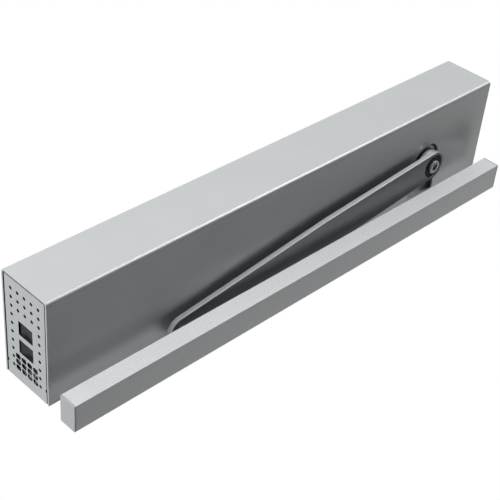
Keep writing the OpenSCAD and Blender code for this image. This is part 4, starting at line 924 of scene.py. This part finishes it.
@dataclass
class ArmSet:
    """The arm with its axle extension, washer, bolt and slide pin."""

    shop: Workshop
    spindle: Spindle
    hub_r: float = 19.0 * MM
    wide_r: float = 21.5 * MM
    wide_at: float = 190.0 * MM
    wide_steps: int = 2
    end_r: float = 15.5 * MM
    bevel: float = 0.8 * MM
    edge_round: float = 0.3 * MM
    recess_r: float = 15.5 * MM
    recess_depth: float = 2.2 * MM
    recess_steps: int = 64
    round_steps: int = 40
    square_half: float = 8.05 * MM
    spigot_gap: float = 0.05 * MM
    spigot_corner: float = 0.6 * MM
    hub_chamfer: float = 0.5 * MM
    hub_floor: float = 2.0 * MM
    hub_steps: int = 96
    bolt_hole_r: float = 4.2 * MM
    washer_edge: float = 0.25 * MM
    washer_steps: int = 72
    shank_r: float = 4.0 * MM
    head_dome: float = 1.1 * MM
    dome_turns: tuple[float, ...] = (0.0, 0.5, 1.05, math.pi / 2)
    head_steps: int = 64
    socket_r: float = 4.9 * MM
    socket_rim: float = 1.0 * MM
    socket_depth: float = 3.6 * MM
    pin_hole_r: float = 5.05 * MM
    pin_gap: float = 0.05 * MM
    pin_edge: float = 0.6 * MM
    pin_steps: int = 48

    def build(self) -> None:
        """Builds the arm and what is fixed to it."""
        self.arm()
        self.extension()
        self.washer()
        self.bolt()
        self.pin()

    def axis(self) -> tuple[float, Matrix]:
        """Measures the arm from the spindle to the slide pin.

        Returns:
            The arm's length, and the turn from +X to its direction.
        """
        low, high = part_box("slide_pin")
        tip = (low + high) / 2
        way = Vector((tip.x - self.spindle.x, tip.y - self.spindle.y))
        turn = Matrix.Rotation(math.atan2(way.y, way.x), 4, "Z")
        return way.length, turn

    def plan(self, length: float) -> list[Vector]:
        """Outline of the arm from the spindle along +X.

        Args:
            length: Distance from the spindle to the slide pin.

        Returns:
            The outline's points.
        """
        first = math.degrees(math.asin((self.hub_r - self.wide_r) / self.wide_at))
        second = math.degrees(math.asin((self.wide_r - self.end_r) / (length - self.wide_at)))
        return [*arc_points((0, 0), self.hub_r, 90 - first, 270 + first, self.round_steps),
                *arc_points((self.wide_at, 0), self.wide_r, 270 + first, 270 + second,
                            self.wide_steps),
                *arc_points((length, 0), self.end_r, second - 90, 90 - second,
                            self.round_steps),
                *arc_points((self.wide_at, 0), self.wide_r, 90 - second, 90 - first,
                            self.wide_steps)]

    def arm(self) -> None:
        """Builds the bar with its bolt recess below and its square hole."""
        low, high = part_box("drive_arm")
        length, turn = self.axis()
        place = Matrix.Translation((self.spindle.x, self.spindle.y, low.z)) @ turn
        thick = high.z - low.z
        up = Vector((0, 0, 1))
        bm = bmesh.new()
        outline = add_loop(bm, self.plan(length), place)
        recess = add_loop(bm, ring_points((0, 0), self.recess_r, self.recess_steps), place)
        pin = add_loop(bm, ring_points((length, 0), self.pin_hole_r, self.round_steps), place)
        fill_loops(bm, (outline, recess, pin), -up)
        top = lift_edges(bm, outline, up * thick)
        pin_top = lift_edges(bm, pin, up * thick)
        floor = lift_edges(bm, recess, up * self.recess_depth)
        half = self.square_half
        square = add_loop(bm, box_points((-half, half), (-half, half)),
                          place @ Matrix.Translation((0, 0, self.recess_depth)))
        fill_loops(bm, (floor, square), -up)
        square_top = lift_edges(bm, square, up * (thick - self.recess_depth))
        fill_loops(bm, (top, pin_top, square_top), up)
        close_up(bm)
        clear_of_recess = (self.recess_r + self.hub_r) / 2

        def below(edge: bmesh.types.BMEdge) -> bool:
            """True on the arm's lower edges, but for the recess."""
            middle = (edge.verts[0].co + edge.verts[1].co) / 2 - place.translation
            return middle.z < MERGE and middle.xy.length > clear_of_recess

        round_edges(bm, self.bevel, segments=3, pick=below)
        round_edges(bm, self.edge_round, angle=60)
        self.shop.finish(bm, "arm_bar", "drive_arm", crease=40)

    def extension(self) -> None:
        """Builds the round hub between the spindle and the arm, with its square spigot."""
        low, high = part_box("axle_extension")
        radius = (high.x - low.x) / 2
        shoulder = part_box("drive_arm")[1].z
        bore = (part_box("spindle")[1].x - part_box("spindle")[0].x) / 2
        chamfer = self.hub_chamfer
        floor = shoulder + self.hub_floor
        place = Matrix.Translation((self.spindle.x, self.spindle.y, 0))
        bm = bmesh.new()
        add_turned(bm, (
            (0, shoulder), (radius - chamfer, shoulder), (radius, shoulder + chamfer),
            (radius, high.z - chamfer), (radius - chamfer, high.z), (bore, high.z),
            (bore, floor), (0, floor)), place, steps=self.hub_steps)
        half = self.square_half - self.spigot_gap
        _, turn = self.axis()
        spigot = place @ turn @ Matrix.Translation((0, 0, low.z))
        section = box_points((-half, half), (-half, half), self.spigot_corner)
        add_sheet(bm, section, [], spigot, shoulder - low.z)
        close_up(bm)
        self.shop.finish(bm, "axle_hub", "axle_extension", crease=30)

    def washer(self) -> None:
        """Builds the flat ring under the bolt's head."""
        low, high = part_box("arm_washer")
        radius = (high.x - low.x) / 2
        edge = self.washer_edge
        place = Matrix.Translation((self.spindle.x, self.spindle.y, 0))
        bm = bmesh.new()
        add_turned(bm, (
            (self.bolt_hole_r, low.z), (radius - edge, low.z), (radius, low.z + edge),
            (radius, high.z), (self.bolt_hole_r, high.z), (self.bolt_hole_r, low.z)),
            place, steps=self.washer_steps)
        close_up(bm)
        self.shop.finish(bm, "bolt_washer", "arm_washer")

    def bolt(self) -> None:
        """Builds the bolt with a round head and a hexagon socket."""
        low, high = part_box("arm_bolt")
        radius = (high.x - low.x) / 2
        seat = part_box("arm_washer")[0].z
        dome = self.head_dome
        upside_down = Matrix.Rotation(math.pi, 4, "X")
        place = Matrix.Translation((self.spindle.x, self.spindle.y, 0)) @ upside_down
        bm = bmesh.new()
        head = [(radius - dome + dome * math.cos(turn), -low.z - dome + dome * math.sin(turn))
                for turn in self.dome_turns]
        add_turned(bm, (
            (0, -high.z), (self.shank_r, -high.z), (self.shank_r, -seat), (radius, -seat),
            *head, (self.socket_r + self.socket_rim, -low.z)), place, steps=self.head_steps)
        rim = [edge for edge in bm.edges if edge.is_boundary]
        hexagon = ring_points((0, 0), self.socket_r, 6)
        socket = add_loop(bm, hexagon, place @ Matrix.Translation((0, 0, -low.z)))
        fill_loops(bm, (rim, socket), Vector((0, 0, -1)))
        floor = lift_edges(bm, socket, Vector((0, 0, self.socket_depth)))
        fill_loops(bm, (floor,), Vector((0, 0, -1)))
        close_up(bm)
        self.shop.finish(bm, "arm_bolt_head", "arm_bolt", crease=35)

    def pin(self) -> None:
        """Builds the riveted slide pin."""
        low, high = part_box("slide_pin")
        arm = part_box("drive_arm")[1].z
        head_r = (high.x - low.x) / 2
        radius = self.pin_hole_r - self.pin_gap
        edge = self.pin_edge
        centre = (low + high) / 2
        bm = bmesh.new()
        add_turned(bm, (
            (0, low.z), (radius - edge, low.z), (radius, low.z + edge), (radius, arm),
            (head_r, arm), (head_r, high.z - edge), (head_r - edge, high.z), (0, high.z)),
            Matrix.Translation((centre.x, centre.y, 0)), steps=self.pin_steps)
        close_up(bm)
        self.shop.finish(bm, "riveted_pin", "slide_pin")


@dataclass
class SlideRail:
    """The rail with its end caps, strip and slide block."""

    shop: Workshop
    wall: float = 3.0 * MM
    corner: float = 0.8 * MM
    corner_steps: int = 5
    edge_round: float = 0.25 * MM
    slot_w: float = 13.0 * MM
    strip_gap: float = 0.05 * MM
    strip_round: float = 0.3 * MM
    block_round: float = 0.5 * MM
    cap_gap: float = 0.2 * MM
    cap_t: float = 2.0 * MM
    cap_round: float = 0.3 * MM

    def build(self) -> None:
        """Builds the rail and what belongs to it."""
        self.rail()
        self.cap("rail_cap_left", -1)
        self.cap("rail_cap_right", 1)
        self.shop.soften("slide_block", self.block_round)
        self.shop.soften("rail_strip", self.strip_round)

    def channel(self) -> tuple[float, float, float, float]:
        """Finds the rail's channel, whose middle lies at the slide pin.

        Returns:
            The channel's front, back, bottom and top.
        """
        low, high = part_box("slide_rail")
        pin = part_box("slide_pin")
        front = low.y + self.wall
        back = (pin[0].y + pin[1].y) - front
        return front, back, low.z + self.wall, high.z - self.wall

    def rail(self) -> None:
        """Builds the hollow profile with its slot above and its groove behind."""
        low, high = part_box("slide_rail")
        front, back, bottom, top = self.channel()
        middle = (front + back) / 2
        slot = (middle - self.slot_w / 2, middle + self.slot_w / 2)
        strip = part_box("rail_strip")
        groove_y = strip[0].y - self.strip_gap
        groove_z = (strip[0].z - self.strip_gap, strip[1].z + self.strip_gap)
        c, steps = self.corner, self.corner_steps
        outline = [
            *arc_points((low.y + c, low.z + c), c, 180, 270, steps),
            *arc_points((high.y - c, low.z + c), c, 270, 360, steps),
            *[Vector(p) for p in ((high.y, groove_z[0]), (groove_y, groove_z[0]),
                                  (groove_y, groove_z[1]), (high.y, groove_z[1]))],
            *arc_points((high.y - c, high.z - c), c, 0, 90, steps),
            *[Vector(p) for p in ((slot[1], high.z), (slot[1], top), (back, top),
                                  (back, bottom), (front, bottom), (front, top),
                                  (slot[0], top), (slot[0], high.z))],
            *arc_points((low.y + c, high.z - c), c, 90, 180, steps),
        ]
        bm = bmesh.new()
        add_sheet(bm, outline, [], side_place(low.x, 1), high.x - low.x)
        close_up(bm)
        round_edges(bm, self.edge_round)
        self.shop.finish(bm, "rail_profile", "slide_rail", crease=35)

    def cap(self, node: str, side: int) -> None:
        """Builds an end cap: a plate with round corners and a plug in the channel.

        Args:
            node: The CAD node that it replaces.
            side: -1 for the left end, 1 for the right end.
        """
        low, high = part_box(node)
        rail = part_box("slide_rail")
        outer = low.x if side < 0 else high.x
        inner = high.x if side < 0 else low.x
        front, back, bottom, top = self.channel()
        gap = self.cap_gap
        bm = bmesh.new()
        plate = box_points((rail[0].y, rail[1].y), (rail[0].z, rail[1].z), self.corner,
                           self.corner_steps)
        add_sheet(bm, plate, [], side_place(outer, -side), self.cap_t)
        plug = box_points((front + gap, back - gap), (bottom + gap, top - gap))
        start = outer - side * self.cap_t
        add_sheet(bm, plug, [], side_place(start, -side), abs(start - inner))
        close_up(bm)
        round_edges(bm, self.cap_round, segments=3)
        self.shop.finish(bm, node + "_plate", node, crease=35)


@dataclass
class Lead:
    """One lead between two units: its CAD node and its route in millimetres."""

    node: str
    points: tuple[Point, ...]


@dataclass
class Wiring:
    """The three leads, on the same routes as their solids."""

    shop: Workshop
    radius: float = 2.5 * MM
    round_steps: int = 4
    steps: int = 8
    leads: tuple[Lead, ...] = field(default_factory=lambda: (
        Lead("motor_cable", (
            (32.98, -84.5, 3.7), (27.98, -84.5, 3.7), (20.98, -76.5, 6.7),
            (13.98, -64.5, 12.7), (-0.52, -60, 19), (-13.52, -54, 20.5),
            (-17.52, -41.6, 20.5), (-17.52, -33.6, 20.5))),
        Lead("supply_cable", (
            (-178.5, -25, -18.5), (-178.5, -37, -18.5), (-170.5, -51, -16.5),
            (-139.5, -59, -12), (-115.5, -60, 6), (-106.5, -55, 18),
            (-102.5, -41.6, 20.5), (-102.5, -33.6, 20.5))),
        Lead("switch_cable", (
            (-311.6, -70.7, 0), (-307.6, -70.7, 0), (-302.6, -82.7, 0), (-298.5, -111, 0),
            (-272.5, -113, 4), (-207.5, -113, 6), (-167.5, -97, 0), (-135.5, -73.6, -8),
            (-111.5, -59.6, -17), (-102.5, -41.6, -20.5), (-102.5, -33.6, -20.5))),
    ))

    def build(self) -> None:
        """Builds each lead as a round curve along its smooth route."""
        for lead in self.leads:
            curve = bpy.data.curves.new(lead.node + "_lead", "CURVE")
            curve.dimensions = "3D"
            curve.bevel_depth = self.radius
            curve.bevel_resolution = self.round_steps
            curve.use_fill_caps = True
            route = self.smooth([Vector(p) * MM for p in lead.points])
            spline = curve.splines.new("POLY")
            spline.points.add(len(route) - 1)
            for point, place in zip(spline.points, route):
                point.co = (*place, 1.0)
            spline.use_smooth = True
            obj = bpy.data.objects.new(lead.node + "_lead", curve)
            bpy.context.scene.collection.objects.link(obj)
            self.shop.attach(obj, lead.node)
            LOG.info("%s: %d points", obj.name, len(route))

    def smooth(self, points: list[Vector]) -> list[Vector]:
        """Runs a smooth curve through the points, with straight first and last legs.

        Args:
            points: The route's listed points.

        Returns:
            The points of the smooth route.
        """
        route = [points[0]]
        for i in range(1, len(points) - 2):
            a, b, c, d = points[i - 1:i + 3]
            for k in range(self.steps):
                t = k / self.steps
                route.append(0.5 * (2 * b + (c - a) * t + (2 * a - 5 * b + 4 * c - d) * t * t
                                    + (3 * b - a - 3 * c + d) * t * t * t))
        return [*route, points[-2], points[-1]]


@dataclass
class Drive:
    """The gear casing, motor and closing spring under the cover."""

    shop: Workshop
    spring_wire_r: float = 2.2 * MM
    spring_turns: int = 8
    spring_wall_gap: float = 1.0 * MM
    spring_end_gap: float = 0.1 * MM
    wire_sides: int = 12
    turn_steps: int = 28
    tube_bore_r: float = 15.0 * MM
    casing_round: float = 0.8 * MM
    bracket_round: float = 0.6 * MM

    def build(self) -> None:
        """Builds the drive's rounded castings and its spring."""
        for node in ("drive_casing", "drive_casing_lid"):
            self.shop.soften(node, self.casing_round, segments=3)
        self.shop.soften("tube_bracket", self.bracket_round)
        self.spring()

    def spring(self) -> None:
        """Winds the closing spring between the plug and the piston."""
        plug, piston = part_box("spring_plug"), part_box("rack_plunger")
        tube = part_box("spring_tube")
        centre_y = (tube[0].y + tube[1].y) / 2
        centre_z = (tube[0].z + tube[1].z) / 2
        start = plug[1].x + self.spring_wire_r + self.spring_end_gap
        finish = piston[0].x - self.spring_wire_r - self.spring_end_gap
        coil_r = self.tube_bore_r - self.spring_wire_r - self.spring_wall_gap
        bm = bmesh.new()
        ring = bmesh.ops.create_circle(
            bm, cap_ends=False, radius=self.spring_wire_r, segments=self.wire_sides,
            matrix=Matrix.Translation((start, centre_y + coil_r, centre_z)))["verts"]
        geom = ring + list({edge for vert in ring for edge in vert.link_edges})
        steps = self.turn_steps * self.spring_turns
        made = bmesh.ops.spin(
            bm, geom=geom, cent=(start, centre_y, centre_z), axis=(1, 0, 0),
            dvec=((finish - start) / steps, 0, 0), angle=math.tau * self.spring_turns,
            steps=steps, use_merge=False, use_duplicate=False)
        ends = [[edge for edge in geom if isinstance(edge, bmesh.types.BMEdge)],
                [item for item in made["geom_last"]
                 if isinstance(item, bmesh.types.BMEdge)]]
        for end in ends:
            bmesh.ops.contextual_create(bm, geom=end)
        close_up(bm)
        obj = self.shop.finish(bm, "spring_coil", "closing_spring", crease=60)
        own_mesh(obj)

    @staticmethod
    def travel() -> float:
        """How far the plunger moves to its limit."""
        slide = next(joint for joint in frame["joints"] if joint["name"] == "rack_slide")
        return slide["range_m"][1]


@dataclass
class Electronics:
    """The power supply and the control unit."""

    shop: Workshop
    case_round: float = 0.5 * MM
    part_round: float = 0.4 * MM
    sheet_round: float = 0.25 * MM

    def build(self) -> None:
        """Rounds the units' cases, their larger parts and what is bent from thin sheet."""
        case, part, sheet = self.case_round, self.part_round, self.sheet_round
        widths = {"supply_tray": part, "control_box": case, "board_connectors": part,
                  "terminal_block": part, "switch_bodies": part, "cover_clips": sheet,
                  "heat_sink": sheet, "transformer": case, "board_parts": part}
        for node, width in widths.items():
            self.shop.soften(node, width)


@dataclass
class Studio:
    """Camera, floor, lamps and world."""

    eye: Point = (-0.850, -0.850, -0.737)
    forward: Point = (0.593, 0.600, 0.536)
    up: Point = (0.378, -0.796, 0.472)
    lens: float = 87.6
    sensor: float = 36.0
    far: float = 100.0
    aim: Point = (0.0, -0.06, 0.0)
    floor_z: float = -2.1
    floor_half: float = 30.0
    floor_color: float = 0.8
    floor_seen: float = 0.8
    floor_roughness: float = 0.9
    mirrored_greys: tuple[tuple[float, float], ...] = (
        (0.8, 0.02), (2.6, 0.04), (3.3, 0.14), (4.2, 0.9))
    mirrored_front: float = 0.9
    front_reach: tuple[float, float] = (-0.9, -1.5)
    edge_way: Point = (0.59, -0.72, -0.36)
    edge_distance: float = 3.5
    edge_size: tuple[float, float] = (1.5, 1.5)
    edge_power: float = 45.0
    ambient_below: float = 0.03
    ambient_above: float = 0.4
    ambient_reach: tuple[float, float] = (-0.2, 0.6)
    key_way: Point = (-0.6, -0.8, 0.075)
    key_distance: float = 3.5
    key_size: tuple[float, float] = (1.6, 0.5)
    key_power: float = 120.0
    low_place: Point = (0.85, 2.1, -1.5)
    low_size: tuple[float, float] = (1.6, 1.2)
    low_power: float = 37.5

    def build(self) -> None:
        """Builds the whole stage."""
        self.camera()
        self.floor()
        self.world()
        self.lamps()
        bpy.context.scene.view_settings.view_transform = "Standard"

    def lamps(self) -> None:
        """Hangs the key and low lamps, which light, and the edge lamp, which only shines."""
        target = Vector(self.aim)
        key = target + Vector(self.key_way).normalized() * self.key_distance
        low = Vector(self.low_place)
        for soft in (self.lamp("key", key, target, self.key_size, self.key_power),
                     self.lamp("low", low, target, self.low_size, self.low_power)):
            soft.visible_glossy = False
        edge = target + Vector(self.edge_way).normalized() * self.edge_distance
        shine = self.lamp("edge", edge, target, self.edge_size, self.edge_power)
        shine.visible_diffuse = False

    def camera(self) -> None:
        """Places the camera as the photograph was taken."""
        data = bpy.data.cameras.new("camera")
        data.lens = self.lens
        data.sensor_width = self.sensor
        data.clip_end = self.far
        obj = bpy.data.objects.new("camera", data)
        bpy.context.scene.collection.objects.link(obj)
        back = -Vector(self.forward).normalized()
        right = Vector(self.up).cross(back).normalized()
        true_up = back.cross(right)
        turn = Matrix((right, true_up, back)).transposed()
        obj.matrix_world = Matrix.Translation(Vector(self.eye)) @ turn.to_4x4()
        bpy.context.scene.camera = obj

    @staticmethod
    def background_share(kit: NodeKit) -> bpy.types.NodeSocket:
        """Tells the rays that see the background from those that only light.

        Args:
            kit: The world's node kit.

        Returns:
            A socket that is 1 for camera, glossy and transmission rays, and 0 for others.
        """
        path = kit.add("LightPath")
        seen = kit.math("MAXIMUM", path.outputs["Is Camera Ray"], path.outputs["Is Glossy Ray"])
        return kit.math("MAXIMUM", seen, path.outputs["Is Transmission Ray"])

    def floor(self) -> None:
        """Lays the pale floor, which isn't part of the object."""
        bm = bmesh.new()
        bmesh.ops.create_grid(bm, x_segments=1, y_segments=1, size=self.floor_half,
                              matrix=Matrix.Translation((0, 0, self.floor_z)))
        mesh = bpy.data.meshes.new("floor")
        bm.to_mesh(mesh)
        bm.free()
        obj = bpy.data.objects.new("floor", mesh)
        bpy.context.scene.collection.objects.link(obj)
        obj.visible_diffuse = False
        mesh.materials.append(self.floor_material())

    def floor_material(self) -> bpy.types.Material:
        """Makes the floor's finish.

        The camera sees it white. The metal mirrors it dark, but lighter far to the right
        (+X) and in front (-Y).

        Returns:
            The floor's material.
        """
        material = bpy.data.materials.new("pale_floor")
        material.use_nodes = True
        shader = material.node_tree.nodes["Principled BSDF"]
        shader.inputs["Roughness"].default_value = self.floor_roughness
        shader.inputs["Specular IOR Level"].default_value = 0.0
        shader.inputs["Emission Color"].default_value = (1, 1, 1, 1)
        kit = NodeKit(material.node_tree)
        path = kit.add("LightPath")
        mirrored = path.outputs["Is Glossy Ray"]
        kit.feed(shader.inputs["Base Color"],
                 kit.math("MULTIPLY_ADD", mirrored, -self.floor_color, self.floor_color))
        place = kit.add("SeparateXYZ", {0: kit.add("TexCoord").outputs["Object"]})
        first, last = self.mirrored_greys[0][0], self.mirrored_greys[-1][0]
        reach = kit.add("MapRange", {"Value": place.outputs["X"], "From Min": first,
                                     "From Max": last})
        grey = kit.add("ValToRGB", {"Fac": reach.outputs["Result"]})
        stops = grey.color_ramp.elements
        while len(stops) < len(self.mirrored_greys):
            stops.new(1.0)
        for stop, (x, value) in zip(stops, self.mirrored_greys):
            stop.position = (x - first) / (last - first)
            stop.color = (value, value, value, 1.0)
        front = kit.add("MapRange", {
            "Value": place.outputs["Y"], "From Min": self.front_reach[0],
            "From Max": self.front_reach[1], "To Max": self.mirrored_front})
        shown = kit.math("MAXIMUM", grey.outputs["Color"], front.outputs["Result"])
        seen = kit.math("MULTIPLY", path.outputs["Is Camera Ray"], self.floor_seen)
        kit.feed(shader.inputs["Emission Strength"],
                 kit.math("MULTIPLY_ADD", mirrored, shown, seen))
        return material

    def world(self) -> None:
        """White behind everything that is seen, and a dim even light on the object."""
        world = bpy.data.worlds.new("studio")
        bpy.context.scene.world = world
        world.use_nodes = True
        kit = NodeKit(world.node_tree)
        background = world.node_tree.nodes["Background"]
        background.inputs["Color"].default_value = (1, 1, 1, 1)
        way = kit.add("SeparateXYZ", {0: kit.add("TexCoord").outputs["Generated"]})
        light = kit.add("MapRange", {
            "Value": way.outputs["Z"], "From Min": self.ambient_reach[0],
            "From Max": self.ambient_reach[1], "To Min": self.ambient_below,
            "To Max": self.ambient_above})
        kit.feed(background.inputs["Strength"],
                 kit.math("MAXIMUM", self.background_share(kit), light.outputs["Result"]))

    @staticmethod
    def lamp(name: str, place: Vector, target: Vector, size: tuple[float, float],
             power: float) -> bpy.types.Object:
        """Adds a soft lamp that looks at a target.

        Args:
            name: The lamp's name.
            place: Where it stands.
            target: What it looks at.
            size: Its width and height.
            power: Its power in watts.

        Returns:
            The lamp's object.
        """
        data = bpy.data.lights.new(name, "AREA")
        data.shape = "RECTANGLE"
        data.energy = power
        data.size, data.size_y = size
        obj = bpy.data.objects.new(name, data)
        bpy.context.scene.collection.objects.link(obj)
        obj.location = place
        obj.visible_camera = False
        obj.rotation_mode = "QUATERNION"
        obj.rotation_quaternion = (target - place).to_track_quat("-Z", "Y")
        return obj


def corners(box: tuple[Vector, Vector]) -> list[list[float]]:
    """A box as plain lists of numbers."""
    return [[float(value) for value in corner] for corner in box]


def main() -> None:
    """Builds every sub-assembly in order."""
    logging.basicConfig(level=logging.INFO, format="%(message)s")
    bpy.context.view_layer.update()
    Studio().build()
    shop = Workshop()
    shop.dress_frame()
    spindle = Spindle.from_frame()
    Wiring(shop).build()
    Housing(shop, spindle).build()
    ArmSet(shop, spindle).build()
    SlideRail(shop).build()
    Drive(shop).build()
    Electronics(shop).build()


if __name__ == "__main__":
    main()
